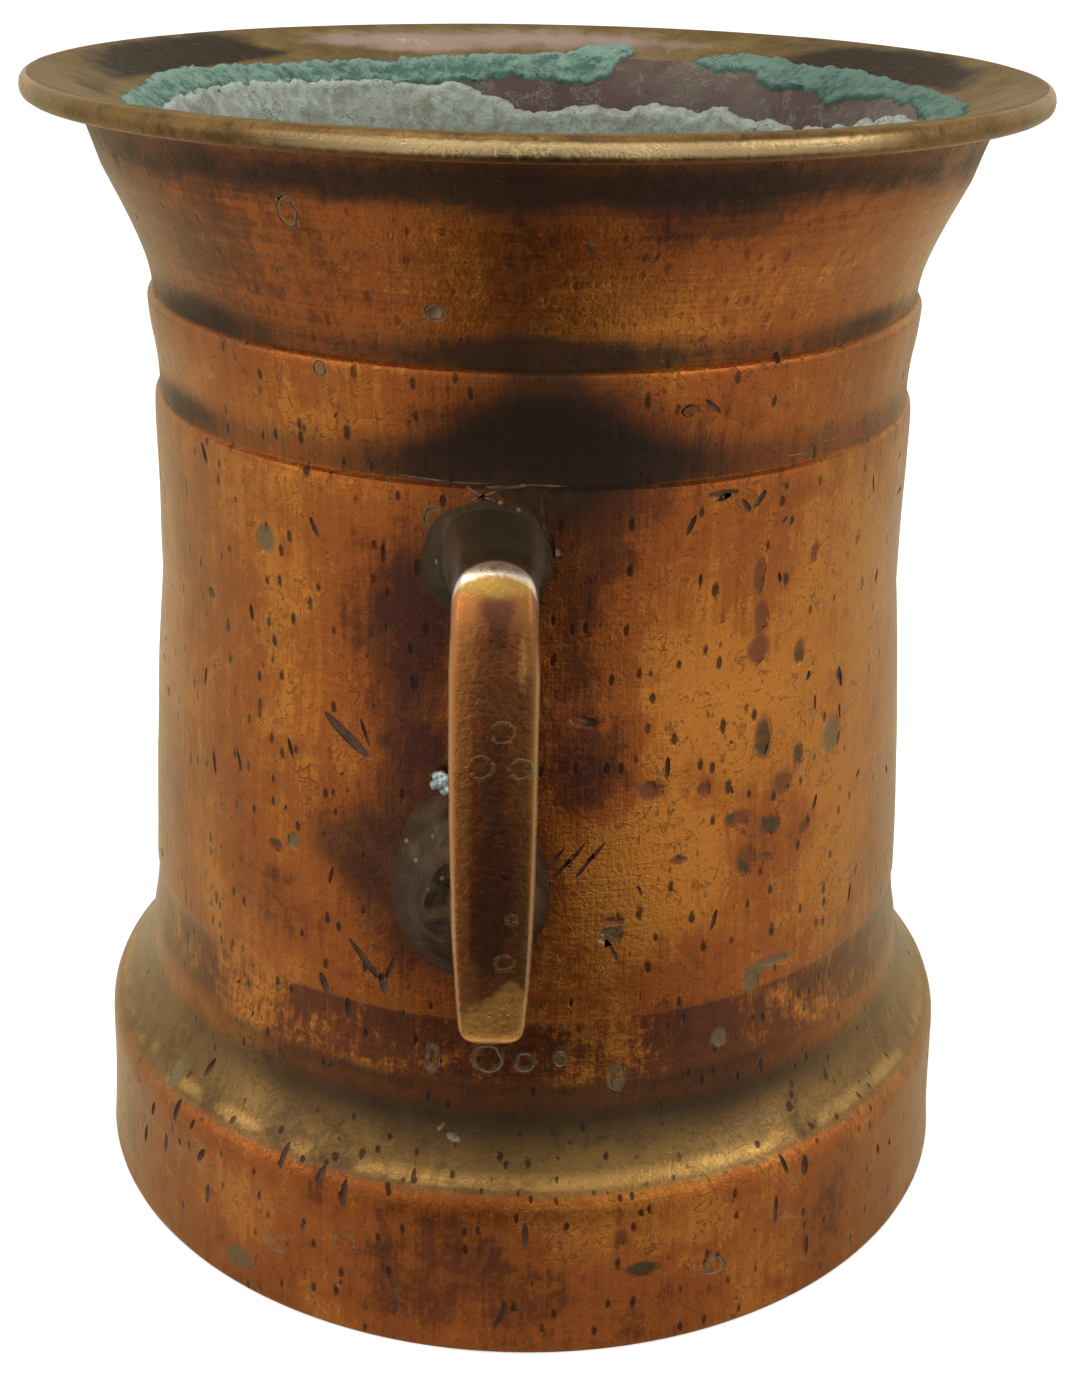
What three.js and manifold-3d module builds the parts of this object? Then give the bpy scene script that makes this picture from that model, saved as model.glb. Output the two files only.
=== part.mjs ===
// A one-handled bronze grinding bowl. One turned casting has a trumpet lip, a collar
// between two coves, a tall barrel and a spreading foot. An ear handle is let into the
// wall on two tangs and sweated fast with solder. Green and white salts have grown
// inside the throat.
// Millimetres, +Z up. The origin is the middle of the foot's flat underside, and the
// handle stands towards -Y.

import * as THREE from "three";
import { mergeVertices } from "three/addons/utils/BufferGeometryUtils.js";
import Module from "manifold-3d";

const wasm = await Module();
wasm.setup();

// Heights of the turned members, stacked from the ground up
const footBandHeight = 20.8;
const cavettoHeight = 11.2;
const skirtHeight = 8.8;
const barrelHeight = 61.8;
const lowerCoveHeight = 5.6;
const collarHeight = 6.7;
const upperCoveHeight = 4.2;
const flareHeight = 18.3;
const lipThickness = 2.6;

// Radii of the barrel at its top, and how far the other members stand out from it
const barrelRadius = 46.4;
const barrelSpread = 3.2;
const barrelWaist = 1.1;
const skirtStep = 0.4;
const skirtSpread = 1.1;
const ridgeReach = 6.1;
const footSpread = 1;
const footHollow = 0.9;
const coveDepth = 0.7;
const neckSpread = 0.2;
const flareReach = 6.4;
const lipReach = 6.2;
const footEdgeRound = 1.2;
const ridgeRound = 1.8;
const lipFillet = 1.8;

// The hollow inside
const wallThickness = 5;
const boreSpread = 1.6;
const floorThickness = 11;
const floorFlatRadius = 8;
const floorRise = 27;
const lipFaceWidth = 10.4;
const lipFaceDrop = 3.4;
const throatCurve = 12;

// The handle: an upper arm, a strap with a free tail, and a lower arm behind it
const strapWidth = 9.1;
const strapThickness = 4.4;
const tailWidth = 6.8;
const tailThickness = 3.2;
const tailRound = 2;
const standOff = 17.6;
const tailStandOff = 12.4;
const strapLength = 55;
const strapTopDrop = 2.4;
const strapOffset = -3.4;
const cornerRadius = 4.6;
const upperRootDrop = 8;
const upperRootWidth = 11.8;
const upperRootHeight = 11.6;
const upperRootOffset = -4;
const lowerRootDrop = 45.4;
const lowerRootWidth = 10.6;
const lowerRootHeight = 17;
const lowerRootOffset = -4.4;
const lowerArmWidth = 7.4;
const lowerArmHeight = 12;

// The tangs, their pockets and the solder
const tangWidth = 6.4;
const upperTangHeight = 6.4;
const lowerTangHeight = 11;
const tangDepth = 3.2;
const clearance = 0.3;
const upperSolderSpread = 1.5;
const upperSolderReach = 3;
const lowerSolderSpread = 3.7;
const lowerSolderReach = 4.6;
const lowerSolderShift = -1.6;
const beadRadius = 1.3;
const beadBearing = 112;

// The deposits, placed along the inside wall from the rim downwards
const verdigrisStart = 10.2;
const verdigrisBand = 4.4;
const verdigrisThickness = 1.1;
const verdigrisWander = 0.9;
const verdigrisBreakFrom = 64;
const verdigrisBreakTo = 73;
const scaleBand = 30;
const scaleThickness = 1.4;
const scaleWander = 1.6;
const scaleSpacing = 0.8;
const bareBand = 4.6;
const bareMiddle = 55;
const bareHalfAngle = 52;
const thinEdge = 0.35;

// Where the curves turn, as shares of the height or reach of their member
const ridgeTurn = 0.6;
const cavettoTurn = 0.4;
const flareLowTurn = 0.35;
const flareHighTurn = 0.5;
const flareHighReach = 0.6;
const lipFaceTurn = 0.4;
const throatTurn = 0.4;

// How finely curves are divided
const turnSides = 60;
const curveSteps = 3;
const sectionSides = 20;
const beadSides = 12;
const beadRings = 8;
const depositSides = 60;
const depositRows = 5;

// Levels and radii that follow from the sizes above
const ridgeZ = footBandHeight;
const cavettoTopZ = ridgeZ + cavettoHeight;
const skirtTopZ = cavettoTopZ + skirtHeight;
const ledgeZ = skirtTopZ + barrelHeight;
const collarZ = ledgeZ + lowerCoveHeight;
const upperLedgeZ = collarZ + collarHeight;
const neckZ = upperLedgeZ + upperCoveHeight;
const lipZ = neckZ + flareHeight;
const rimZ = lipZ + lipThickness;
const barrelFootRadius = barrelRadius + barrelSpread;
const skirtTopRadius = barrelFootRadius - skirtStep;
const cavettoTopRadius = skirtTopRadius + skirtSpread;
const ridgeRadius = cavettoTopRadius + ridgeReach;
const footRadius = ridgeRadius + footSpread;
const neckRadius = barrelRadius + neckSpread;
const flareRadius = neckRadius + flareReach;
const rimRadius = flareRadius + lipReach;
const rimRound = lipThickness / 2;
const throatRadius = rimRadius - rimRound - lipFaceWidth;
const throatZ = rimZ - lipFaceDrop;
const boreRadius = neckRadius - wallThickness;

// Half outlines of the casting, as radius and height

function outsideOutline() {
  const path = new THREE.Path();
  path.moveTo(0, 0);
  path.lineTo(footRadius - footEdgeRound, 0);
  path.quadraticCurveTo(footRadius, 0, footRadius, footEdgeRound);
  path.quadraticCurveTo(ridgeRadius - footHollow, ridgeZ / 2, ridgeRadius, ridgeZ - ridgeRound);
  path.quadraticCurveTo(ridgeRadius, ridgeZ, ridgeRadius - ridgeRound, ridgeZ + ridgeRound * ridgeTurn);
  const cavettoLowZ = ridgeZ + cavettoHeight * cavettoTurn;
  path.quadraticCurveTo(cavettoTopRadius, cavettoLowZ, cavettoTopRadius, cavettoTopZ);
  path.quadraticCurveTo(skirtTopRadius, cavettoTopZ + skirtHeight / 2, skirtTopRadius, skirtTopZ - skirtStep);
  path.lineTo(barrelFootRadius, skirtTopZ);
  const waistRadius = barrelRadius + barrelSpread / 2 - barrelWaist;
  path.quadraticCurveTo(waistRadius, skirtTopZ + barrelHeight / 2, barrelRadius, ledgeZ);
  path.lineTo(barrelRadius - coveDepth, ledgeZ + coveDepth / 2);
  path.quadraticCurveTo(barrelRadius - coveDepth, collarZ - coveDepth, barrelRadius, collarZ);
  path.lineTo(neckRadius, upperLedgeZ);
  path.lineTo(neckRadius - coveDepth, upperLedgeZ + coveDepth / 2);
  path.quadraticCurveTo(neckRadius - coveDepth, neckZ - coveDepth, neckRadius, neckZ);
  path.bezierCurveTo(
    neckRadius, neckZ + flareHeight * flareLowTurn,
    neckRadius + flareReach * flareHighReach, neckZ + flareHeight * flareHighTurn,
    flareRadius, lipZ - lipFillet,
  );
  path.quadraticCurveTo(flareRadius + lipFillet / 2, lipZ, rimRadius - rimRound, lipZ);
  path.quadraticCurveTo(rimRadius, lipZ, rimRadius, lipZ + rimRound);
  path.quadraticCurveTo(rimRadius, rimZ, rimRadius - rimRound, rimZ);
  return path.getPoints(curveSteps);
}

function insideOutline() {
  const path = new THREE.Path();
  path.moveTo(rimRadius - rimRound, rimZ);
  const lipFaceMiddle = throatRadius + lipFaceWidth / 2;
  path.quadraticCurveTo(lipFaceMiddle, rimZ - lipFaceDrop * lipFaceTurn, throatRadius, throatZ);
  path.quadraticCurveTo(boreRadius, throatZ - throatCurve * throatTurn, boreRadius, throatZ - throatCurve);
  path.quadraticCurveTo(boreRadius, ledgeZ, boreRadius + boreSpread, floorThickness + floorRise);
  path.quadraticCurveTo(boreRadius + boreSpread, floorThickness, floorFlatRadius, floorThickness);
  path.lineTo(0, floorThickness);
  return path.getPoints(curveSteps);
}

const outside = outsideOutline();
const inside = insideOutline();

// Radius of the outside at a height, read along the outline.
function outsideRadiusAt(z) {
  for (let i = 1; i < outside.length; i++) {
    const [low, high] = [outside[i - 1], outside[i]];
    if (low.y <= z && high.y >= z && high.y > low.y) {
      return low.x + ((high.x - low.x) * (z - low.y)) / (high.y - low.y);
    }
  }
  throw new Error(`the casting has no outside at ${z} mm`);
}

// A place on the inside wall, by its distance from the rim along the outline, moved
// towards the hollow by a lift.
function insidePlace(distance, lift) {
  let left = distance;
  for (let i = 1; i < inside.length; i++) {
    const run = inside[i].clone().sub(inside[i - 1]);
    const span = run.length();
    if (left <= span) {
      run.divideScalar(span);
      const place = inside[i - 1].clone().addScaledVector(run, left);
      return place.add(new THREE.Vector2(run.y * lift, -run.x * lift));
    }
    left -= span;
  }
  throw new Error(`the inside wall is shorter than ${distance} mm`);
}

// Solids and the joins and cuts between them

const mergeDistance = 1e-4;

function solidOf(geometry) {
  const bare = geometry.clone();
  bare.deleteAttribute("normal");
  bare.deleteAttribute("uv");
  const merged = mergeVertices(bare, mergeDistance);
  return new wasm.Manifold(
    new wasm.Mesh({
      numProp: 3,
      vertProperties: merged.attributes.position.array,
      triVerts: new Uint32Array(merged.index.array),
    }),
  );
}

function turned(points) {
  return solidOf(new THREE.LatheGeometry(points, turnSides).rotateX(Math.PI / 2));
}

// The casting without its hollow, with the clearance added all round.
function clearedPlug() {
  const grown = outside.map(({ x, y }) => new THREE.Vector2(x === 0 ? 0 : x + clearance, y));
  return turned([...grown, new THREE.Vector2(0, rimZ)]);
}

// The casting's hollow, with the clearance taken off all round.
function clearedHollow() {
  const last = inside.length - 1;
  const shrunk = inside.map((point, i) => {
    const run = inside[Math.min(i + 1, last)].clone().sub(inside[Math.max(i - 1, 0)]).normalize();
    const moved = point.clone().add(new THREE.Vector2(run.y * clearance, -run.x * clearance));
    return i === last ? moved.setX(0) : moved;
  });
  return turned([...shrunk.reverse(), new THREE.Vector2(0, rimZ)]);
}

// One closed skin through rings that all have the same number of points. Its two ends
// are capped, or joined to each other where it is a hoop.
function loft(rings, hoop = false) {
  const count = rings[0].length;
  const faces = [];
  for (let ring = 0; ring < (hoop ? rings.length : rings.length - 1); ring++) {
    const [near, far] = [ring * count, ((ring + 1) % rings.length) * count];
    for (let i = 0; i < count; i++) {
      const next = (i + 1) % count;
      faces.push(near + i, near + next, far + next, near + i, far + next, far + i);
    }
  }
  const last = (rings.length - 1) * count;
  for (let i = 2; i < count && !hoop; i++) {
    faces.push(0, i, i - 1, last, last + i - 1, last + i);
  }
  const geometry = new THREE.BufferGeometry().setFromPoints(rings.flat());
  geometry.setIndex(faces);
  return solidOf(geometry);
}

// The handle is lofted through stations. A station lies out from the bowl's axis at a
// height, turned about X, and its section is an ellipse at a squareness of 1 and nearer
// a rectangle below that.
const roundBar = 0.8;
const flatBar = 0.45;

function section(station, extra) {
  const ring = [];
  for (let i = 0; i < sectionSides; i++) {
    const angle = (2 * Math.PI * i) / sectionSides;
    const [c, s] = [Math.cos(angle), Math.sin(angle)];
    const across = Math.sign(c) * Math.abs(c) ** station.squareness * (station.width / 2 + extra);
    const up = Math.sign(s) * Math.abs(s) ** station.squareness * (station.height / 2 + extra);
    const out = station.out + up * Math.sin(station.turn);
    ring.push(new THREE.Vector3(station.offset + across, -out, station.z + up * Math.cos(station.turn)));
  }
  return ring;
}

const bar = (stations, extra = 0) => loft(stations.map((station) => section(station, extra)));
const between = THREE.MathUtils.lerp;

const strapTopZ = ledgeZ - strapTopDrop;
const tailZ = strapTopZ - strapLength + tailRound;
const upperRootZ = ledgeZ - upperRootDrop;
const lowerRootZ = ledgeZ - lowerRootDrop;
const upperWall = outsideRadiusAt(upperRootZ);
const lowerWall = outsideRadiusAt(lowerRootZ);
const strapOut = upperWall + standOff - strapThickness / 2;
const tailOut = outsideRadiusAt(tailZ) + tailStandOff - tailThickness / 2;
const armZ = strapTopZ - strapThickness / 2;
const bend = { out: strapOut - cornerRadius, z: armZ - cornerRadius };

// How far behind the wall's face a root must start, for its sides to meet the curve.
const seatMargin = 1;

function seatBehind(wall, offset, width) {
  const side = Math.abs(offset) + width / 2;
  return wall - Math.sqrt(wall ** 2 - side ** 2) + seatMargin;
}

const upperRoot = {
  out: upperWall, z: upperRootZ, turn: 0, offset: upperRootOffset, squareness: roundBar,
  width: upperRootWidth, height: upperRootHeight,
};
const lowerRoot = {
  out: lowerWall, z: lowerRootZ, turn: 0, offset: lowerRootOffset, squareness: roundBar,
  width: lowerRootWidth, height: lowerRootHeight,
};

const armMiddle = 0.5;

function upperArmStations() {
  const share = armMiddle;
  return [
    { ...upperRoot, out: upperWall - seatBehind(upperWall, upperRootOffset, upperRootWidth) },
    { ...upperRoot, out: upperWall + clearance },
    {
      ...upperRoot,
      out: between(upperWall, bend.out, share),
      z: between(upperRootZ, armZ, share),
      offset: between(upperRootOffset, strapOffset, share),
      width: between(upperRootWidth, strapWidth, share),
      height: between(upperRootHeight, strapThickness, share),
    },
    {
      out: bend.out, z: armZ, turn: 0, offset: strapOffset, squareness: (roundBar + flatBar) / 2,
      width: strapWidth, height: strapThickness,
    },
  ];
}

// The tip of the tail rounds off over its last drop, to these shares of its size.
const tipSteps = [{ drop: 0.65, size: 0.78 }, { drop: 1, size: 0.48 }];

// The corner, then the strap, which tapers and leans in to a rounded tip.
function strapStations() {
  const strap = { offset: strapOffset, squareness: flatBar, width: strapWidth, height: strapThickness };
  const stations = [];
  const cornerSteps = 4;
  for (let i = 1; i <= cornerSteps; i++) {
    const turn = (Math.PI * i) / (2 * cornerSteps);
    const out = bend.out + cornerRadius * Math.sin(turn);
    stations.push({ ...strap, turn, out, z: bend.z + cornerRadius * Math.cos(turn) });
  }
  const strapSteps = 7;
  const run = bend.z - tailZ;
  for (let i = 1; i <= strapSteps; i++) {
    const share = i / strapSteps;
    stations.push({
      ...strap,
      z: bend.z - run * share,
      out: between(strapOut, tailOut, share ** 3),
      turn: Math.PI / 2 + Math.atan((3 * share ** 2 * (strapOut - tailOut)) / run),
      width: between(strapWidth, tailWidth, share ** 4),
      height: between(strapThickness, tailThickness, share ** 2),
    });
  }
  const tail = stations.at(-1);
  for (const { drop, size } of tipSteps) {
    const [width, height] = [tail.width * size, tail.height * size];
    stations.push({ ...tail, z: tailZ - tailRound * drop, width, height });
  }
  return stations;
}

function lowerArmStations() {
  const share = armMiddle;
  const armEnd = strapOut - strapThickness / 3;
  return [
    { ...lowerRoot, out: lowerWall - seatBehind(lowerWall, lowerRootOffset, lowerRootWidth) },
    { ...lowerRoot, out: lowerWall + clearance },
    {
      ...lowerRoot,
      out: between(lowerWall, armEnd, share),
      offset: between(lowerRootOffset, strapOffset, share),
      width: between(lowerRootWidth, lowerArmWidth, share),
      height: between(lowerRootHeight, lowerArmHeight, share),
    },
    { ...lowerRoot, out: armEnd, offset: strapOffset, width: lowerArmWidth, height: lowerArmHeight },
  ];
}

// A tang that starts inside the wall and ends inside the arm. With the clearance added
// it is the pocket for that tang.
function tang(root, height, extra) {
  const inner = root.out - tangDepth - extra;
  const outer = root.out + tangDepth;
  const block = new THREE.BoxGeometry(tangWidth + 2 * extra, outer - inner, height + 2 * extra);
  return solidOf(block.translate(root.offset, -(inner + outer) / 2, root.z));
}

const upperTang = (extra) => tang(upperRoot, upperTangHeight, extra);
const lowerTang = (extra) => tang(lowerRoot, lowerTangHeight, extra);

function bowlCasting() {
  const vessel = turned([...outside, ...inside.slice(1)]);
  return vessel.subtract(upperTang(clearance)).subtract(lowerTang(clearance));
}

function handleCasting() {
  const upper = bar([...upperArmStations(), ...strapStations()]);
  const ear = upper.add(bar(lowerArmStations())).subtract(clearedPlug());
  return ear.add(upperTang(0)).add(lowerTang(0));
}

// A bank's profile: how far out it has come, and the shares of its spread and of its
// sideways shift that are left there.
const bankProfile = [
  { reached: 0.2, spread: 0.8, shifted: 1 },
  { reached: 0.55, spread: 0.4, shifted: 0.5 },
  { reached: 1, spread: 0.12, shifted: 0 },
];

// Solder banked in the corner between an arm and the wall, still uncut. Extra makes it
// larger, for cutting what lies against it.
function bankBlank(root, { spread, reach, shift }, extra = 0) {
  const bankAt = (out, share, shifted) => {
    const grown = 2 * (spread * share + clearance);
    const [width, height] = [root.width + grown, root.height + grown];
    return { ...root, out, offset: root.offset + shift * shifted, width, height };
  };
  const behind = seatBehind(root.out, root.offset + shift, root.width + 2 * spread);
  const banked = bankProfile.map(({ reached, spread: share, shifted }) =>
    bankAt(root.out + reach * reached, share, shifted),
  );
  return bar([bankAt(root.out - behind, 1, 1), ...banked], extra);
}

const upperSolder = { spread: upperSolderSpread, reach: upperSolderReach, shift: 0 };
const lowerSolder = { spread: lowerSolderSpread, reach: lowerSolderReach, shift: lowerSolderShift };

function solderFillet(root, arm, solder) {
  return bankBlank(root, solder).subtract(bar(arm, clearance)).subtract(clearedPlug());
}

// A drop of solder that ran down the wall and stopped on the shoulder of the lower bank.
// Its bearing is round the bank's middle, from +X.
const radians = THREE.MathUtils.degToRad;
const bankMiddle = lowerRootOffset + lowerSolderShift;
const bankHalfWidth = lowerRootWidth / 2 + lowerSolderSpread;
const bankHalfHeight = lowerRootHeight / 2 + lowerSolderSpread;
const beadOffset = bankMiddle + bankHalfWidth * Math.cos(radians(beadBearing));
const beadZ = lowerRootZ + bankHalfHeight * Math.sin(radians(beadBearing)) + beadRadius;
const beadOut = Math.sqrt(outsideRadiusAt(beadZ) ** 2 - beadOffset ** 2) + beadRadius / 2;

function solderBead() {
  const drop = new THREE.SphereGeometry(beadRadius, beadSides, beadRings);
  const seated = solidOf(drop.translate(beadOffset, -beadOut, beadZ));
  return seated.subtract(clearedPlug()).subtract(bankBlank(lowerRoot, lowerSolder, clearance));
}

// The deposits are skins on the inside wall. Bearings run from +X, anticlockwise seen
// from above. A deposit has a top and a bottom edge, by distance from the rim, and its
// back is cut to lie the clearance off the wall.
const wander = (bearing, amount, phase) =>
  (amount * (Math.sin(3 * bearing + phase) + Math.sin(7 * bearing + 2 * phase))) / 2;

function deposit({ from, to, top, bottom, thickness }) {
  const columns = [];
  const hoop = to - from >= 2 * Math.PI;
  for (let i = 0; i < (hoop ? depositSides : depositSides + 1); i++) {
    const bearing = between(from, to, i / depositSides);
    const inward = ({ x, y }) => new THREE.Vector3(x * Math.cos(bearing), x * Math.sin(bearing), y);
    const back = [];
    const face = [];
    for (let j = 0; j <= depositRows; j++) {
      const share = j / depositRows;
      const distance = between(top(bearing), bottom(bearing), share);
      const swell = between(thinEdge, 1, Math.sqrt(Math.sin(Math.PI * share)));
      back.push(inward(insidePlace(distance, -thickness)));
      face.unshift(inward(insidePlace(distance, clearance + thickness * swell)));
    }
    columns.push([...back, ...face]);
  }
  return loft(columns, hoop).intersect(clearedHollow());
}

const verdigrisTop = (bearing) => verdigrisStart + wander(bearing, verdigrisWander, 1);
const verdigrisFoot = (bearing) => verdigrisStart + verdigrisBand + wander(bearing, verdigrisWander, 2);

function verdigrisCrust() {
  return deposit({
    from: radians(verdigrisBreakTo),
    to: radians(verdigrisBreakFrom + 360),
    top: verdigrisTop,
    bottom: verdigrisFoot,
    thickness: verdigrisThickness,
  });
}

// Metal shows bare between the green and the white around the middle of the bare patch.
function scaleTop(bearing) {
  const away = Math.abs(((bearing - radians(bareMiddle) + 3 * Math.PI) % (2 * Math.PI)) - Math.PI);
  const bare = THREE.MathUtils.smoothstep(radians(bareHalfAngle) - away, 0, radians(bareHalfAngle / 2));
  return verdigrisFoot(bearing) + scaleSpacing + bareBand * bare;
}

function limeScale() {
  return deposit({
    from: 0,
    to: 2 * Math.PI,
    top: scaleTop,
    bottom: (bearing) => scaleTop(bearing) + scaleBand + wander(bearing, scaleWander, 4),
    thickness: scaleThickness,
  });
}

// The assembly. Each piece's own origin is where it seats.

const bronze = new THREE.MeshStandardMaterial({ color: 0x8a5526, roughness: 0.42, metalness: 1 });
const handleBronze = new THREE.MeshStandardMaterial({ color: 0x7a5430, roughness: 0.38, metalness: 1 });
const solder = new THREE.MeshStandardMaterial({ color: 0x6a6153, roughness: 0.7, metalness: 0.6 });
const brightSolder = new THREE.MeshStandardMaterial({ color: 0xb4bdb6, roughness: 0.6, metalness: 0.5 });
const verdigris = new THREE.MeshStandardMaterial({ color: 0x6fa58c, roughness: 0.95, metalness: 0 });
const scale = new THREE.MeshStandardMaterial({ color: 0xa3a797, roughness: 0.95, metalness: 0 });

function piece(name, solid, material, seat = new THREE.Vector3()) {
  const { vertProperties, triVerts } = solid.getMesh();
  const geometry = new THREE.BufferGeometry();
  geometry.setAttribute("position", new THREE.BufferAttribute(vertProperties, 3));
  geometry.setIndex(new THREE.BufferAttribute(triVerts, 1));
  geometry.translate(-seat.x, -seat.y, -seat.z);
  geometry.computeVertexNormals();
  const mesh = new THREE.Mesh(geometry, material);
  mesh.name = name;
  mesh.position.copy(seat);
  return mesh;
}

const upperSeat = new THREE.Vector3(upperRootOffset, -upperWall, upperRootZ);
const lowerSeat = new THREE.Vector3(lowerRootOffset, -lowerWall, lowerRootZ);
const beadSeat = new THREE.Vector3(beadOffset, -beadOut, beadZ);
const throatSeat = new THREE.Vector3(0, 0, throatZ);

const handle = new THREE.Group();
handle.add(
  piece("handle_casting", handleCasting(), handleBronze, upperSeat),
  piece("upper_solder_fillet", solderFillet(upperRoot, upperArmStations(), upperSolder), solder, upperSeat),
  piece("lower_solder_fillet", solderFillet(lowerRoot, lowerArmStations(), lowerSolder), solder, lowerSeat),
  piece("solder_bead", solderBead(), brightSolder, beadSeat),
);

const deposits = new THREE.Group();
deposits.add(
  piece("verdigris_crust", verdigrisCrust(), verdigris, throatSeat),
  piece("lime_scale", limeScale(), scale, throatSeat),
);

const grindingBowl = new THREE.Group();
grindingBowl.add(piece("bowl_casting", bowlCasting(), bronze), handle, deposits);

export default grindingBowl;
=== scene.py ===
# %% [markdown]
# # A bronze grinding bowl, dressed around its solids
# The bowl is one turned bronze casting, old and much handled. An ear handle is sweated
# to its wall with solder, and green and white salts have grown inside its mouth. The
# solids hold the true sizes. This script gives each one a finer surface and a finish,
# in the same frame and in metres.

import math
import random

import bmesh
import bpy
import numpy as np
from mathutils import Matrix, Vector, noise


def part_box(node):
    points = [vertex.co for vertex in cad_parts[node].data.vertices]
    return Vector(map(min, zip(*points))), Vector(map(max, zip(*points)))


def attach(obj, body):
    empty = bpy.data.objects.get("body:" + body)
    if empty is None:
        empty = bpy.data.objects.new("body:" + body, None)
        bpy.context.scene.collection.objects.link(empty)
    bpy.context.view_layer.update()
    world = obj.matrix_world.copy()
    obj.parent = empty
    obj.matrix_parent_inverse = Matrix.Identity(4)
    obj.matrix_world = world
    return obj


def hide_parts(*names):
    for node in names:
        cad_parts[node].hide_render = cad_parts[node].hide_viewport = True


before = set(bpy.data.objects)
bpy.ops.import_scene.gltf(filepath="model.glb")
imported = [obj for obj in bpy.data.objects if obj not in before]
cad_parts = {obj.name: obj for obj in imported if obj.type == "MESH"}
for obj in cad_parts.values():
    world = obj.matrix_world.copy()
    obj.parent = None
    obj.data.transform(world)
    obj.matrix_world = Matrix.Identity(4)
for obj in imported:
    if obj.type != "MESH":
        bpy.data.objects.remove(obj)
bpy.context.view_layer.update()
print("solids:", sorted(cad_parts))

# %% [markdown]
# Sizes are written in millimetres, because that is how a turner would give them, and
# become metres where a mesh is made. The overall height, the rim and the places of the
# pieces come from the solids, so the dressed bowl can't drift away from them.

# %% Driving sizes
MM = 0.001
bowl_low, bowl_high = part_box("bowl_casting")
height = bowl_high.z / MM
rim_radius = bowl_high.x / MM
handle_low, handle_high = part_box("handle_casting")
strap_face = -handle_low.y / MM
print(f"height {height:.1f} mm, rim radius {rim_radius:.1f} mm, strap at {strap_face:.1f} mm")

# %% [markdown]
# The camera stands where the photographer's phone stood. Its place was found by fitting
# a pinhole camera to the rim, the ledges and the foot. The focal length is known in
# pixels of a picture 1384 high, and Blender measures it in millimetres across a 36 mm
# sensor on the picture's long side, so one is turned into the other.

# %% The camera
picture_height = 1384
focal_pixels = 1991.3
sensor = 36
# The eye in metres, then its three turns in radians
eye = Vector((0, -0.2426, 0.1643))
pitch = 0.4043
yaw = 0.0062
roll = 0.0184

camera_data = bpy.data.cameras.new("camera")
camera_data.sensor_width = sensor
camera_data.lens = focal_pixels * sensor / picture_height
camera = bpy.data.objects.new("camera", camera_data)
bpy.context.scene.collection.objects.link(camera)
ahead = Vector((math.sin(yaw) * math.cos(pitch), math.cos(yaw) * math.cos(pitch), -math.sin(pitch)))
level = Vector((math.cos(yaw), -math.sin(yaw), 0))
above = level.cross(ahead)
right = math.cos(roll) * level + math.sin(roll) * above
up = math.cos(roll) * above - math.sin(roll) * level
camera.matrix_world = Matrix.Translation(eye) @ Matrix((right, up, -ahead)).transposed().to_4x4()
bpy.context.scene.camera = camera
bpy.context.scene.view_settings.view_transform = "Standard"
print(f"lens {camera_data.lens:.1f} mm")

# %% [markdown]
# Shader trees read badly as lists of nodes. Here a small class wraps one output of a
# node, so that masks can be added and multiplied as ordinary Python values, and each
# operator quietly adds its Math node. A second class holds a material and makes every
# other kind of node by one method: its type, its settings, then what goes into it.

# %% Shader values and finishes
class Value:
    """One output of a node, which Python's own operators work on."""

    def __init__(self, finish, socket):
        self.finish = finish
        self.socket = socket

    def _math(self, operation, first, second):
        return self.finish.node("ShaderNodeMath", {"operation": operation}, {0: first, 1: second})

    def __add__(self, other):
        return self._math("ADD", self, other)

    def __radd__(self, other):
        return self._math("ADD", other, self)

    def __sub__(self, other):
        return self._math("SUBTRACT", self, other)

    def __rsub__(self, other):
        return self._math("SUBTRACT", other, self)

    def __mul__(self, other):
        return self._math("MULTIPLY", self, other)

    def __rmul__(self, other):
        return self._math("MULTIPLY", other, self)

    def at_most(self, other):
        return self._math("MINIMUM", self, other)

    def at_least(self, other):
        return self._math("MAXIMUM", self, other)


def colour(red, green, blue):
    """A colour named from 0 to 255, as on a screen, in the linear values that light uses."""
    shares = [channel / 255 for channel in (red, green, blue)]
    linear = [s / 12.92 if s <= 0.04045 else ((s + 0.055) / 1.055) ** 2.4 for s in shares]
    return (*linear, 1)


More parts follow.
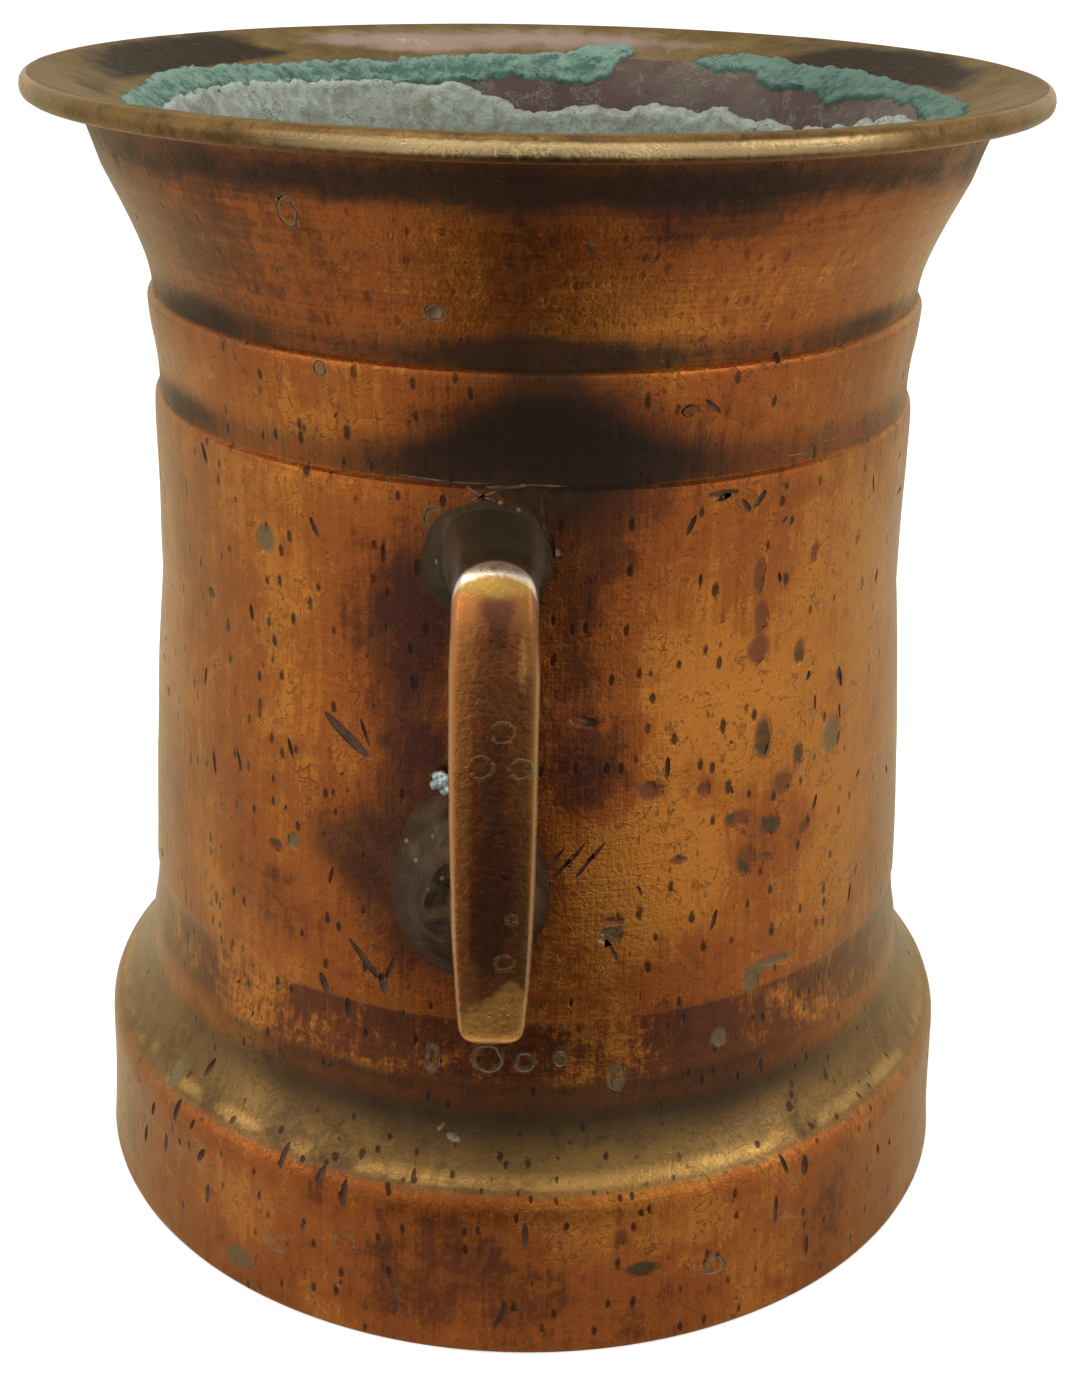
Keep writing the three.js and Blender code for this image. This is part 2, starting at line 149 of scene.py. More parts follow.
class Finish:
    """A material, and the steps that build its shader."""

    def __init__(self, name):
        self.material = bpy.data.materials.new(name)
        self.material.use_nodes = True
        self.tree = self.material.node_tree
        self.shader = self.tree.nodes["Principled BSDF"]

    def node(self, kind, settings=None, inputs=None, output=0):
        made = self.tree.nodes.new(kind)
        for name, value in (settings or {}).items():
            setattr(made, name, value)
        for name, value in (inputs or {}).items():
            self.put(made.inputs[name], value)
        return Value(self, made.outputs[output])

    def put(self, socket, value):
        if isinstance(value, Value):
            self.tree.links.new(value.socket, socket)
        else:
            socket.default_value = value

    def set(self, **inputs):
        for name, value in inputs.items():
            self.put(self.shader.inputs[name.replace("_", " ")], value)

    def place(self):
        """Where a point of the surface is, in millimetres of the bowl's own frame."""
        where = self.node("ShaderNodeTexCoord", output="Object")
        return self.node("ShaderNodeVectorMath", {"operation": "SCALE"}, {0: where, "Scale": 1 / MM})

    def stretch(self, vector, x, y, z):
        return self.node("ShaderNodeVectorMath", {"operation": "MULTIPLY"}, {0: vector, 1: (x, y, z)})

    def shift(self, vector, x, y, z):
        return self.node("ShaderNodeVectorMath", {"operation": "ADD"}, {0: vector, 1: (x, y, z)})

    def axis(self, vector, name):
        return self.node("ShaderNodeSeparateXYZ", inputs={0: vector}, output=name)

    def noise(self, vector, size, detail=3, rough=0.5, swirl=0):
        """Clouds whose patches are about size across."""
        return self.node("ShaderNodeTexNoise", inputs={
            "Vector": vector, "Scale": 1 / size, "Detail": detail, "Roughness": rough, "Distortion": swirl,
        })

    def cells(self, vector, size, output="Distance", feature="F1"):
        """Scattered points about size apart: the distance to the nearest, or its colour."""
        inputs = {"Vector": vector, "Scale": 1 / size}
        return self.node("ShaderNodeTexVoronoi", {"feature": feature}, inputs, output)

    def step(self, value, low, high):
        """0 below low, 1 above high, and a smooth rise between. It falls where low is above high."""
        return self.node("ShaderNodeMapRange", {"interpolation_type": "SMOOTHSTEP"}, {
            "Value": value, "From Min": low, "From Max": high,
        })

    def mix(self, share, first, second):
        return self.node("ShaderNodeMix", {"data_type": "RGBA"}, {0: share, 6: first, 7: second}, 2)

    def painted(self, name):
        """A value that was painted on the mesh's points."""
        return self.node("ShaderNodeAttribute", {"attribute_name": name}, output="Fac")

    def size_of(self, value):
        """How far a value is from 0."""
        return self.node("ShaderNodeMath", {"operation": "ABSOLUTE"}, {0: value})

    def bump(self, height, distance, under=None):
        """A dent or rise of height times distance, in millimetres."""
        inputs = {"Height": height, "Distance": distance * MM, "Strength": 1}
        if under is not None:
            inputs["Normal"] = under
        return self.node("ShaderNodeBump", inputs=inputs)


print("shader helpers ready")

# %% [markdown]
# The light is a white studio: a pale floor that runs on, and broad soft lamps above and
# to both sides. A metal shows what stands round it, so the white room is also what
# mirrors and glossy surfaces see. The floor adds a little light of its own for the
# camera alone, which keeps it white on the picture, while the bowl's shadow still shows.

# %% The room, the floor and the lamps
floor_size = 6
floor_glow = 0.62
room_light = 0.62
world = bpy.data.worlds.new("white room")
bpy.context.scene.world = world
world.use_nodes = True
tree = world.node_tree
background = tree.nodes["Background"]
path = tree.nodes.new("ShaderNodeLightPath")
seen = None
for ray in ("Is Camera Ray", "Is Glossy Ray", "Is Transmission Ray"):
    if seen is None:
        seen = path.outputs[ray]
        continue
    either = tree.nodes.new("ShaderNodeMath")
    either.operation = "MAXIMUM"
    tree.links.new(seen, either.inputs[0])
    tree.links.new(path.outputs[ray], either.inputs[1])
    seen = either.outputs[0]
strength = tree.nodes.new("ShaderNodeMapRange")
tree.links.new(seen, strength.inputs["Value"])
strength.inputs["To Min"].default_value = room_light
strength.inputs["To Max"].default_value = 1
tree.links.new(strength.outputs[0], background.inputs["Strength"])
background.inputs["Color"].default_value = (1, 1, 1, 1)

floor_finish = Finish("floor")
floor_seen = floor_finish.node("ShaderNodeLightPath", output="Is Camera Ray")
floor_finish.set(Base_Color=colour(232, 232, 232), Roughness=0.9, Emission_Color=(1, 1, 1, 1))
floor_finish.set(Emission_Strength=floor_seen * floor_glow)
sheet = bmesh.new()
bmesh.ops.create_grid(sheet, x_segments=1, y_segments=1, size=floor_size / 2)
floor_mesh = bpy.data.meshes.new("floor")
sheet.to_mesh(floor_mesh)
sheet.free()
floor = bpy.data.objects.new("floor", floor_mesh)
bpy.context.scene.collection.objects.link(floor)
floor_mesh.materials.append(floor_finish.material)


def lamp(name, place, aim, width, depth, power):
    """A soft rectangular lamp at a place, turned towards another."""
    data = bpy.data.lights.new(name, "AREA")
    data.shape = "RECTANGLE"
    data.size = width
    data.size_y = depth
    data.energy = power
    item = bpy.data.objects.new(name, data)
    bpy.context.scene.collection.objects.link(item)
    item.location = place
    item.rotation_euler = (Vector(aim) - Vector(place)).to_track_quat("-Z", "Y").to_euler()
    return item


lamp("lamp above", (-0.25, -0.1, 1.1), (0, 0, 0.08), 0.7, 0.7, 3.2)
lamp("lamp left", (-0.9, -0.35, 0.55), (0, 0, 0.07), 0.35, 0.8, 1.7)
lamp("lamp right", (0.85, -0.4, 0.6), (0, 0, 0.07), 0.3, 0.8, 2.2)
print("floor and three lamps placed")

# %% [markdown]
# The person who looks at a polished pot darkens the middle of it, because the metal
# mirrors them. A dark card lies in front of the bowl and stands up behind the camera
# for that. Only mirror rays see it: it takes no light off the bowl and hides nothing.

# %% The dark card
card_half_width = 0.075
card_reach = (-0.085, -0.7)
card_top = 0.5
card_finish = Finish("dark card")
card_finish.set(Base_Color=colour(38, 30, 26), Roughness=0.9)
card_sheet = bmesh.new()
near_edge = [card_sheet.verts.new((x, card_reach[0], 0.001)) for x in (-card_half_width, card_half_width)]
fold = card_sheet.edges.new(near_edge)
for move in (Vector((0, card_reach[1] - card_reach[0], 0)), Vector((0, 0, card_top))):
    grown = bmesh.ops.extrude_edge_only(card_sheet, edges=[fold])
    moved = [item for item in grown["geom"] if isinstance(item, bmesh.types.BMVert)]
    bmesh.ops.translate(card_sheet, verts=moved, vec=move)
    fold = next(item for item in grown["geom"] if isinstance(item, bmesh.types.BMEdge)
                and all(v in moved for v in item.verts))
card_mesh = bpy.data.meshes.new("dark card")
card_sheet.to_mesh(card_mesh)
card_sheet.free()
card = bpy.data.objects.new("dark_card", card_mesh)
bpy.context.scene.collection.objects.link(card)
card_mesh.materials.append(card_finish.material)
card.visible_camera = False
card.visible_diffuse = False
card.visible_shadow = False
print("dark card placed")

# %% [markdown]
# A turned body is one half outline swept round its axis. The outline is drawn as a
# turner reads it, from the foot up: each member is a straight run or a bend that is
# pulled towards a corner. Each is divided by its own length, so that sharp ledges keep
# their corners and the skin has even rows for the fine dents that come later.

# %% The outline of the bowl
row_spacing = 0.9
inner_spacing = 3


def run(start, end, spacing):
    """Points of a straight run, without its first point."""
    count = max(1, round(math.dist(start, end) / spacing))
    return [tuple(a + (b - a) * i / count for a, b in zip(start, end)) for i in range(1, count + 1)]


def bend(start, corner, end, spacing):
    """Points of a bend from start to end that is pulled towards a corner, without its first point."""
    length = (math.dist(start, corner) + math.dist(corner, end) + math.dist(start, end)) / 2
    count = max(4, round(length / spacing))
    points = []
    for i in range(1, count + 1):
        t = i / count
        points.append(tuple(
            (1 - t) ** 2 * a + 2 * t * (1 - t) * b + t * t * c for a, b, c in zip(start, corner, end)
        ))
    return points


def drawn(start, members, spacing):
    """The whole outline through a list of members: an end, or a corner and an end."""
    points = [start]
    for member in members:
        if len(member) == 1:
            points += run(points[-1], member[0], spacing)
        else:
            points += bend(points[-1], *member, spacing)
    return points


# Radius and height of the members' ends, in millimetres
lip_under = 137.2
lip_round = (height - lip_under) / 2
# How far in from the rim the lip's underside and its worn top edge end
under_inset = 1.1
worn_inset = 1.6
outside = drawn((0, 0), [
    [(52, 0)],
    [(56.6, 0)],
    [(57.45, 0), (57.5, 0.8)],
    [(56.8, 8), (56.6, 17.6)],
    [(56.5, 20.6), (55.1, 21.7)],
    [(52.6, 23.8), (51.2, 27.6)],
    [(50.5, 29.8), (50.25, 32.6)],
    [(49.35, 37), (49.25, 40.3)],
    [(49.4, 41)],
    [(48.2, 66), (46.5, 80)],
    [(46.2, 92), (46.35, 99)],
    [(46.4, 102), (46.2, 102.7)],
    [(45.7, 103.0)],
    [(45.5, 106.6), (46.1, 110.2)],
    [(46.4, 112), (46.5, 114.2)],
    [(46.5, 114.8), (46.3, 114.95)],
    [(45.8, 115.3)],
    [(45.9, 118), (46.8, 120.6)],
    [(47.6, 123), (49.2, 126.4)],
    [(50.5, 129.1), (50.9, 130)],
    [(52, 133.6), (52.9, 135.9)],
    [(53.3, 137), (54.4, lip_under)],
    [(rim_radius - under_inset, lip_under + 0.1)],
    [(rim_radius, lip_under + 0.1), (rim_radius, lip_under + lip_round)],
    [(rim_radius, height), (rim_radius - worn_inset, height)],
], row_spacing)
inside = drawn(outside[-1], [
    [(52.6, 138.5), (47.6, 136.6)],
    [(41.9, 134.2), (41.7, 125)],
    [(41.6, 102), (43, 38)],
    [(43.2, 11.2), (8, 11)],
    [(0, 11)],
], inner_spacing)
print(f"{len(outside)} rows outside and {len(inside)} inside")

# %% [markdown]
# The outline is swept once round with bmesh's spin. A full spin is told to merge its
# ends, and the points that lie on the axis are then merged too, so the skin is closed.
# A cast and handled pot is never quite true, so the skin is then pushed in and out by
# a tenth of a millimetre or two, always inwards where the solids' box would be passed.

# %% The turned body
columns = 240
weld = 0.002
# Near the axis and on the foot's flat face the skin stays true
axis_zone = 1
foot_zone = 0.4
# Near the rim and the top it is only pushed inwards, and the lip down by a share of that
rim_zone = 2.5
top_zone = 0.5
lip_share = 0.3
# Depths in millimetres, and the lumps' sizes in metres, as the mesh's points are
wobble = 0.16
wobble_size = 0.034
dent = 0.07
dent_size = 0.009


def object_from(bm, name, *finishes):
    """A finished piece: its mesh holds its place, and its object stays at the origin."""
    mesh = bpy.data.meshes.new(name)
    bm.to_mesh(mesh)
    bm.free()
    piece = bpy.data.objects.new(name, mesh)
    bpy.context.scene.collection.objects.link(piece)
    for finish in finishes:
        mesh.materials.append(finish.material)
    return piece


def baked(piece):
    """What a piece's modifiers make of it, as a bmesh. The piece itself is thrown away."""
    bpy.context.view_layer.update()
    mesh = bpy.data.meshes.new_from_object(piece.evaluated_get(bpy.context.evaluated_depsgraph_get()))
    bm = bmesh.new()
    bm.from_mesh(mesh)
    bpy.data.objects.remove(piece)
    return bm


def shade(bm, sharpest=38):
    """Smooth faces, with creases kept where two faces meet at more than so many degrees."""
    for face in bm.faces:
        face.smooth = True
    for edge in bm.edges:
        if len(edge.link_faces) == 2 and edge.calc_face_angle() > math.radians(sharpest):
            edge.smooth = False


def triangles(piece):
    """How many triangles a piece has."""
    return sum(len(face.vertices) - 2 for face in piece.data.polygons)


def unevenness(place):
    """How far a hand-finished casting stands in or out here, in millimetres."""
    broad = noise.noise(place / wobble_size) * wobble
    fine = noise.noise(place / dent_size + Vector((7, 3, 5))) * dent
    return broad + fine


turned = bmesh.new()
line = [turned.verts.new((radius * MM, 0, z * MM)) for radius, z in outside + inside[1:]]
edges = [turned.edges.new(pair) for pair in zip(line, line[1:])]
bmesh.ops.spin(turned, geom=line + edges, cent=(0, 0, 0), axis=(0, 0, 1), angle=2 * math.pi,
               steps=columns, use_merge=True)
bmesh.ops.remove_doubles(turned, verts=turned.verts, dist=weld * MM)
bmesh.ops.recalc_face_normals(turned, faces=turned.faces)
for vert in turned.verts:
    radius = math.hypot(vert.co.x, vert.co.y) / MM
    if radius < axis_zone or vert.co.z < foot_zone * MM:
        continue
    push = unevenness(vert.co)
    if radius > rim_radius - rim_zone or vert.co.z / MM > height - top_zone:
        push = -abs(push)
    vert.co.x *= 1 + push / radius
    vert.co.y *= 1 + push / radius
    if vert.co.z / MM > lip_under - 1:
        vert.co.z -= abs(push) * lip_share * MM
print(f"{len(turned.faces)} faces in the turned body")

# %% [markdown]
# Nearly everything on the pot is placed by a bearing and a height, as one would walk
# round it with a ruler. Bearings start at the handle's side and grow to the right. One
# helper turns them into a place on the outside, with the same unevenness as the skin,
# and so anything laid by it follows the wall like a wet cloth.

# %% Places on the wall
upper_root = 94.6
lower_root = 57.2
wall_rows = [point for point in outside if point[0] > 40 and point[1] <= lip_under]
wall_heights = [row[1] for row in wall_rows]
wall_radii = [row[0] for row in wall_rows]


def wall_radius(z):
    """Radius of the outside of the wall at a height, in millimetres."""
    return float(np.interp(z, wall_heights, wall_radii))


def on_wall(bearing, z, sideways=0, out=0):
    """A place on the skin of the wall, so far sideways and outwards, in millimetres."""
    radius = wall_radius(z)
    angle = math.radians(bearing) + sideways / radius
    way = Vector((math.sin(angle), -math.cos(angle), 0))
    place = way * radius * MM + Vector((0, 0, z * MM))
    return place + way * (out + unevenness(place)) * MM


wall_up = wall_radius(upper_root)
wall_low = wall_radius(lower_root)
print(f"wall radius {wall_up:.1f} mm at the upper root and {wall_low:.1f} mm at the lower")

# %% [markdown]
# The wall is pitted with slits the shape of a grain of rice, most of them upright, and
# with burnt spots, grey stains, a forked crack low on the left, and scratches by the
# handle. They are cut as real hollows with one Boolean, by a crowd of stretched balls,
# because bump alone would vanish from the exported mesh. Slits and flecks carry a
# finish of their own, which the Boolean hands on to the hollow. Burns and stains keep
# the bronze, and a painted layer with a soft edge colours them later. What the
# photograph shows is listed one by one. The rest is strewn by a seeded draw, so every run
# gives the same pot.

# %% Pits, burns, stains and scratches
kinds = ("worn", "pit", "pale")
slits = [
    # bearing in degrees, height, length, width, lean in degrees
    (-21.4, 19.0, 3.8, 0.9, 2), (0.6, 16.6, 3.8, 0.8, 0), (-14.8, 5.6, 4.8, 0.9, 4),
    (32.6, 14.0, 4.6, 0.7, -2), (37.0, 18.6, 2.9, 1.1, 0), (-24.7, 20.4, 2.3, 1.0, 18),
    (-42.7, 10.6, 3.8, 1.1, 6), (-2.2, 5.2, 3.8, 0.7, 22), (-30.2, 21.0, 2.8, 0.8, 2),
    (-43.6, 15.8, 2.9, 0.9, 32), (-49.0, 19.4, 3.4, 0.9, 12), (-55.0, 16.5, 2.8, 0.8, 24),
    (-52.0, 13.0, 3.6, 0.9, 14), (-47.0, 25.0, 2.6, 0.8, 20), (-58.0, 11.0, 3.4, 0.8, 16),
    (-24.4, 39.6, 2.8, 0.8, 0), (-28.0, 42.0, 2.8, 1.1, -24), (38.0, 6.6, 3.4, 0.7, 0),
    (11.6, 49.6, 3.4, 0.5, -26), (20.4, 110.6, 1.8, 1.1, 78), (23.6, 111.0, 2.6, 0.6, -52),
    (33.2, 115.2, 1.2, 0.9, 40), (26.0, 101.0, 1.8, 0.6, 70), (29.4, 99.8, 2.0, 0.7, -40),
    (31.6, 100.2, 2.4, 0.8, 42), (-52.0, 101.0, 2.6, 0.7, -30), (-30.0, 96.4, 2.4, 0.7, -28),
    (-25.0, 73.3, 7.2, 1.3, -54), (-22.2, 74.0, 3.4, 0.5, -22), (-34.0, 70.0, 2.6, 0.6, -20),
    (-50.0, 64.0, 3.0, 0.6, -14), (-44.0, 66.0, 2.6, 0.5, -22), (-53.0, 74.0, 2.4, 0.5, 10),
    (-27.0, 56.0, 2.4, 0.5, 12),
    (3.6, 61.0, 3.8, 0.5, 42), (5.0, 60.2, 4.4, 0.45, 40), (6.4, 61.4, 3.6, 0.45, 38),
    (7.8, 60.2, 4.0, 0.5, 36), (9.2, 61.6, 3.0, 0.5, 40), (2.6, 57.4, 2.2, 0.8, 30),
    (-21.7, 46.3, 6.4, 0.9, -42), (-19.0, 43.9, 2.6, 1.2, -10), (-18.0, 46.2, 4.6, 0.6, 22),
    (22.0, 39.6, 2.4, 0.7, 6), (19.6, 38.4, 1.8, 0.6, 14), (1.6, 100.4, 3.8, 0.7, -6),
    (2.6, 96.9, 3.4, 0.8, -8), (12.4, 127.2, 1.2, 0.4, 20), (13.8, 127.2, 1.2, 0.4, 20),
    (50.0, 76.0, 2.8, 0.8, -12), (44.0, 62.0, 2.0, 0.6, 20), (23.0, 92.0, 1.6, 0.5, 0),
]
burns = [
    # bearing, height, length, width, lean
    (33.9, 72.2, 5.6, 2.6, 4), (40.7, 81.1, 3.4, 1.9, 10), (32.4, 91.4, 4.6, 1.5, 4),
    (33.2, 86.6, 3.2, 2.0, -20), (40.4, 68.8, 3.0, 1.7, 14), (31.0, 57.8, 3.8, 2.8, 10),
    (29.8, 63.1, 2.4, 4.0, 0), (35.0, 61.2, 2.8, 3.2, 0), (20.6, 59.6, 1.4, 2.2, 0),
    (41.6, 59.4, 2.0, 2.0, 20), (33.0, 82.6, 3.6, 3.4, 0), (16.4, 68.4, 2.6, 3.4, 0),
    (34.6, 57.6, 1.0, 1.8, 20), (37.4, 66.0, 3.0, 3.0, 0), (11.6, 53.2, 1.3, 3.0, 0),
    (42.6, 92.4, 2.4, 1.3, 0), (25.8, 101.4, 0.9, 4.2, 0), (-36.4, 57.6, 1.6, 2.2, 0),
    (7.2, 77.0, 1.6, 3.4, 16), (24.4, 67.6, 2.2, 1.8, 0), (-51.6, 84.6, 1.3, 1.6, 0),
    (20.4, 110.8, 1.3, 2.2, 0), (12.0, 15.6, 2.4, 1.6, 0), (14.6, 10.8, 2.2, 4.4, 0),
]
stains = [
    (-38.8, 93.6, 3.4, 3.0, 0), (47.9, 69.4, 4.8, 3.6, 0), (-33.3, 58.8, 2.4, 1.8, 0),
    (36.6, 43.6, 1.5, 6.0, 14), (32.6, 41.9, 3.0, 2.4, 0), (27.6, 35.8, 2.6, 2.6, 0),
    (-37.0, 4.2, 3.6, 4.6, 0), (11.4, 51.4, 2.6, 3.0, 0),
    (-52.0, 22.4, 3.4, 2.6, -30),
]
flecks = [
    (-12.2, 120.9, 1.3, 1.3, 0), (-32.6, 124.9, 0.5, 0.5, 0), (-31.8, 124.2, 0.4, 0.4, 0),
    (-33.0, 123.6, 0.4, 0.4, 0), (3.6, 96.2, 0.9, 0.8, 0), (-12.4, 70.2, 0.5, 1.2, 30),
    (-10.5, 27.2, 1.2, 0.5, 40), (-8.8, 26.2, 0.9, 1.8, 20), (-14.0, 103.3, 0.25, 6.4, 2),
    (-8.4, 103.2, 0.25, 5.4, -1), (-3.0, 103.0, 0.3, 5.0, -3), (1.6, 103.2, 0.25, 5.4, 2),
    (-6.6, 102.2, 0.3, 3.4, 24), (-6.2, 102.1, 0.3, 3.2, -22),
    (45.0, 104.7, 0.25, 5.0, 4), (39.0, 104.0, 0.25, 3.6, 3), (-29.0, 131.4, 0.4, 1.6, 50),
]
rings = [
    # bearing, height, half width, half height
    (-4.7, 35.9, 1.7, 1.6), (-12.1, 35.3, 0.7, 1.5), (0.3, 35.6, 1.0, 1.1), (12.6, 33.2, 0.8, 1.4),
    (-28.3, 113.9, 0.7, 0.8), (-12.2, 120.9, 0.95, 0.95), (-28.6, 130.4, 1.1, 1.5),
    (5.0, 36.0, 0.6, 0.9), (-31.0, 9.0, 1.6, 1.2), (-21.4, 12.0, 1.3, 1.5), (24.0, 9.0, 1.4, 1.1),
    (-12.6, 99.2, 1.0, 1.2),
]
hand_placed = len(slits)
# The neck above this height is nearly free of pits
clean_above = 112
strewn_slits = 110
round_pits = 100
mark_spacing = 2.6
pit_depth = 0.4
spot_depth = 0.16
groove = 0.13
# Bearings of the sides and back, where the marks of the front are strewn again
side_from = 66
side_to = 294

random.seed(41)
for _ in range(strewn_slits):
    zone = random.choice([(4, 20), (42, 100), (42, 100), (110, 133)])
    slits.append((
        random.uniform(-180, 180), random.uniform(*zone), random.uniform(1.0, 2.8),
        random.uniform(0.35, 0.7), random.gauss(0, 20),
    ))
for _ in range(round_pits):
    size = random.uniform(0.35, 0.8)
    slits.append((
        random.uniform(-180, 180), random.uniform(5, 133), size * 1.7, size * 0.7,
        random.gauss(0, 25),
    ))
for marks, count in ((burns, 34), (stains, 14), (flecks, 12)):
    for _ in range(count):
        _, _, length, width, lean = random.choice(marks[:20])
        share = random.uniform(0.5, 1)
        place_round = random.uniform(side_from, side_to)
        marks.append((place_round, random.uniform(42, 100), length * share, width * share, lean))

cutters = bmesh.new()
hoop_radius = 5


def behind_handle(bearing, z):
    """Whether a place is hidden by the handle or its solder."""
    return abs((bearing + 184) % 360 - 180) < 12 and 44 < z < 104


def ball(bearing, z, length, width, lean, kind, depth, ragged=0):
    """A stretched ball that is laid on the wall, to be cut out of it."""
    fine = 3 if length * width > 5 or kind == "worn" else 2
    verts = bmesh.ops.create_icosphere(cutters, subdivisions=fine, radius=1)["verts"]
    turn = Matrix.Rotation(math.radians(lean), 3, "Y")
    for vert in verts:
        vert.co *= 1 + ragged * noise.noise(vert.co * 1.8 + Vector((bearing, z, 0)))
        local = turn @ Vector((vert.co.x * width / 2, vert.co.y * depth, vert.co.z * length / 2))
        vert.co = on_wall(bearing, z + local.z, local.x, -local.y)
    for face in {face for vert in verts for face in vert.link_faces}:
        face.material_index = kinds.index(kind)


def hoop(bearing, z, half_width, half_height):
    """A thin ring that is laid on the wall, to be cut into it as a groove."""
    bm = bmesh.new()
    verts = bmesh.ops.create_circle(bm, segments=6, radius=1)["verts"]
    bmesh.ops.spin(bm, geom=verts + bm.edges[:], cent=(-hoop_radius, 0, 0), axis=(0, 1, 0),
                   angle=2 * math.pi, steps=20, use_merge=True)
    for vert in bm.verts:
        across = Vector((vert.co.x + hoop_radius, 0, vert.co.z))
        ring_way = across.normalized()
        stand = (across.length - hoop_radius) * groove
        wander = 1 + 0.2 * noise.noise(ring_way * 1.5 + Vector((bearing, z, 0)))
        sideways = ring_way.x * (half_width * wander + stand)
        rise = ring_way.z * (half_height * wander + stand)
        vert.co = on_wall(bearing, z + rise, sideways, -vert.co.y * groove)
    for face in bm.faces:
        face.material_index = kinds.index("pale")
    mesh = bpy.data.meshes.new("hoop")
    bm.to_mesh(mesh)
    bm.free()
    cutters.from_mesh(mesh)


taken = []
for kind, marks, depth, ragged in (
    ("worn", burns, spot_depth, 0.35), ("worn", stains, spot_depth, 0.25),
    ("pale", flecks, groove, 0.2), ("pit", slits, pit_depth, 0),
):
    for index, (bearing, z, length, width, lean) in enumerate(marks):
        spot = on_wall(bearing, z)
        by_hand = kind != "pit" or index < hand_placed
        crowded = any((spot - other).length < mark_spacing * MM for other in taken)
        thinned = z > clean_above and index % 3
        if not by_hand and (behind_handle(bearing, z) or crowded or thinned):
            continue
        taken.append(spot)
        ball(bearing, z, length, width, lean, kind, min(depth, 0.55 * width), ragged)
for mark in rings:
    hoop(*mark)
bmesh.ops.recalc_face_normals(cutters, faces=cutters.faces)
print(f"{len(taken)} hollows and {len(rings)} rings to cut")

# %% [markdown]
# A finish like this can't be one noise. The photograph shows soft islands of oxide and
# grime in the two coves, each in its own place. They are painted on the mesh's points,
# as a maker would dab them on: every mark is an oval with a bearing, a height and two
# half sizes, and the shader later breaks its edge up with noise. Some marks are painted
# light: a painted reflection down the middle of the front, painted shade under the lip
# and on the front of the roll, and marks that take the painted shade off the roll's
# sides. Away from the front the same marks are strewn again, so no side is bare.

# %% The soft marks
# Oxide, except two marks: at bearing 0, height 108, and at bearing -2, height 124, a painted reflection
# darkens the middle of the collar and neck, where the metal mirrors the onlooker
oxide_marks = [
    # bearing, height, half width, half height, strength; below 0 it is rubbed clean
    (-15.5, 87.5, 5.5, 8.5, 1.2), (-23, 77, 5, 6, 0.2), (-14, 72, 5, 7, 0.6), (-20, 60, 7, 6, 0.6),
    (-14, 50, 7, 5, 0.4), (8, 95, 4, 7, 0.9), (6.5, 84, 3.4, 7, 0.8), (8, 71.5, 4.6, 5, 1.3),
    (15, 46, 10, 4, 0.4), (-38, 50, 6, 5, 0.6), (28, 84, 11, 14, -0.9), (18, 61, 9, 5, -1.2),
    (16, 52, 9, 7, -0.6),
    (56, 78, 14, 26, -0.7), (-46, 84, 12, 22, -0.1), (0, 108, 14, 5, 1.3), (-2, 124, 3.5, 9, 0.7),
    (-32, 111, 10, 3, -0.1), (34, 111, 10, 3, -0.2), (0, 8, 24, 6, 0.6), (-36, 11, 10, 6, -0.6),
    (44, 12, 8, 6, 0.2), (-8, 16, 8, 4, 0.4), (34, 60, 8, 6, 0.5), (30, 88, 3, 8, 0.4),
    (14, 120, 9, 4, -0.4), (-38, 125, 14, 10, 0.45), (20, 131, 10, 3, 0.5), (-32, 66, 6, 8, 0.2),
]
# Grime, with painted light among it: the marks near bearing 0 from height 105.5 up to 133.5 are a painted
# reflection and painted shade, the two at height 31 take the painted shade off the sides of the roll, and
# the one at height 24 adds painted shade to the roll's front
grime_marks = [
    (-53, 117, 10, 2.4, 0.7), (-60, 105, 9, 2.0, 0.6), (54, 117, 8, 1.6, 0.5), (2, 105.5, 14, 3.6, 1.5),
    (0, 117.2, 13, 2.6, 0.8), (3, 99.8, 6, 3.5, 0.9), (-12, 63, 5, 7, 0.5), (-11, 54, 6, 7, 0.5),
    (2, 110.5, 9, 4.5, 1.3), (0, 133.5, 40, 2.6, 0.7), (-2, 126, 3, 7, 0.5),
    (-64, 31, 16, 5, -0.9), (64, 31, 16, 5, -0.9), (10, 24, 26, 4, 0.34),
]
# Burnt metal round the roots of the handle
halo_marks = [(-5.4, 95.0, 12.5, 10.5, 0.95), (-10, 57.5, 15, 16, 0.95), (-21, 60, 9, 3.5, 0.7)]
strewn_turns = (97, 178, 251)


def strewn(marks):
    """The same marks again round the sides and back, shuffled in height."""
    more = list(marks)
    for turn in strewn_turns:
        for bearing, z, *sizes in marks:
            away = bearing * random.choice((-1, 1)) + turn
            level = z + random.uniform(-4, 4)
            if side_from < away % 360 < side_to:
                more.append((away, level, *sizes))
    return more


def soft(piece, marks):
    """For each point of a piece, the strength of the soft ovals over it."""
    places = places_of(piece)
    bearing = np.arctan2(places[:, 0], -places[:, 1])
    radius = np.hypot(places[:, 0], places[:, 1])
    total = np.zeros(len(places))
    for mark_bearing, z, half_width, half_height, strength in marks:
        turn = (bearing - math.radians(mark_bearing) + math.pi) % (2 * math.pi) - math.pi
        away = (turn * radius / half_width) ** 2 + ((places[:, 2] - z) / half_height) ** 2
        total += strength * np.exp(-away)
    return total


def round_marks(hollows):
    """Soft ovals over cut hollows, a little wider than they are, so that the edge is soft."""
    return [(bearing, z, width * 0.6, length * 0.6, 1) for bearing, z, length, width, _ in hollows]


def paint(piece, **layers):
    """Writes a value for each point of the piece's mesh, for its shader to read."""
    for name, values in layers.items():
        layer = piece.data.attributes.new(name, "FLOAT", "POINT")
        layer.data.foreach_set("value", np.asarray(values, np.float32))


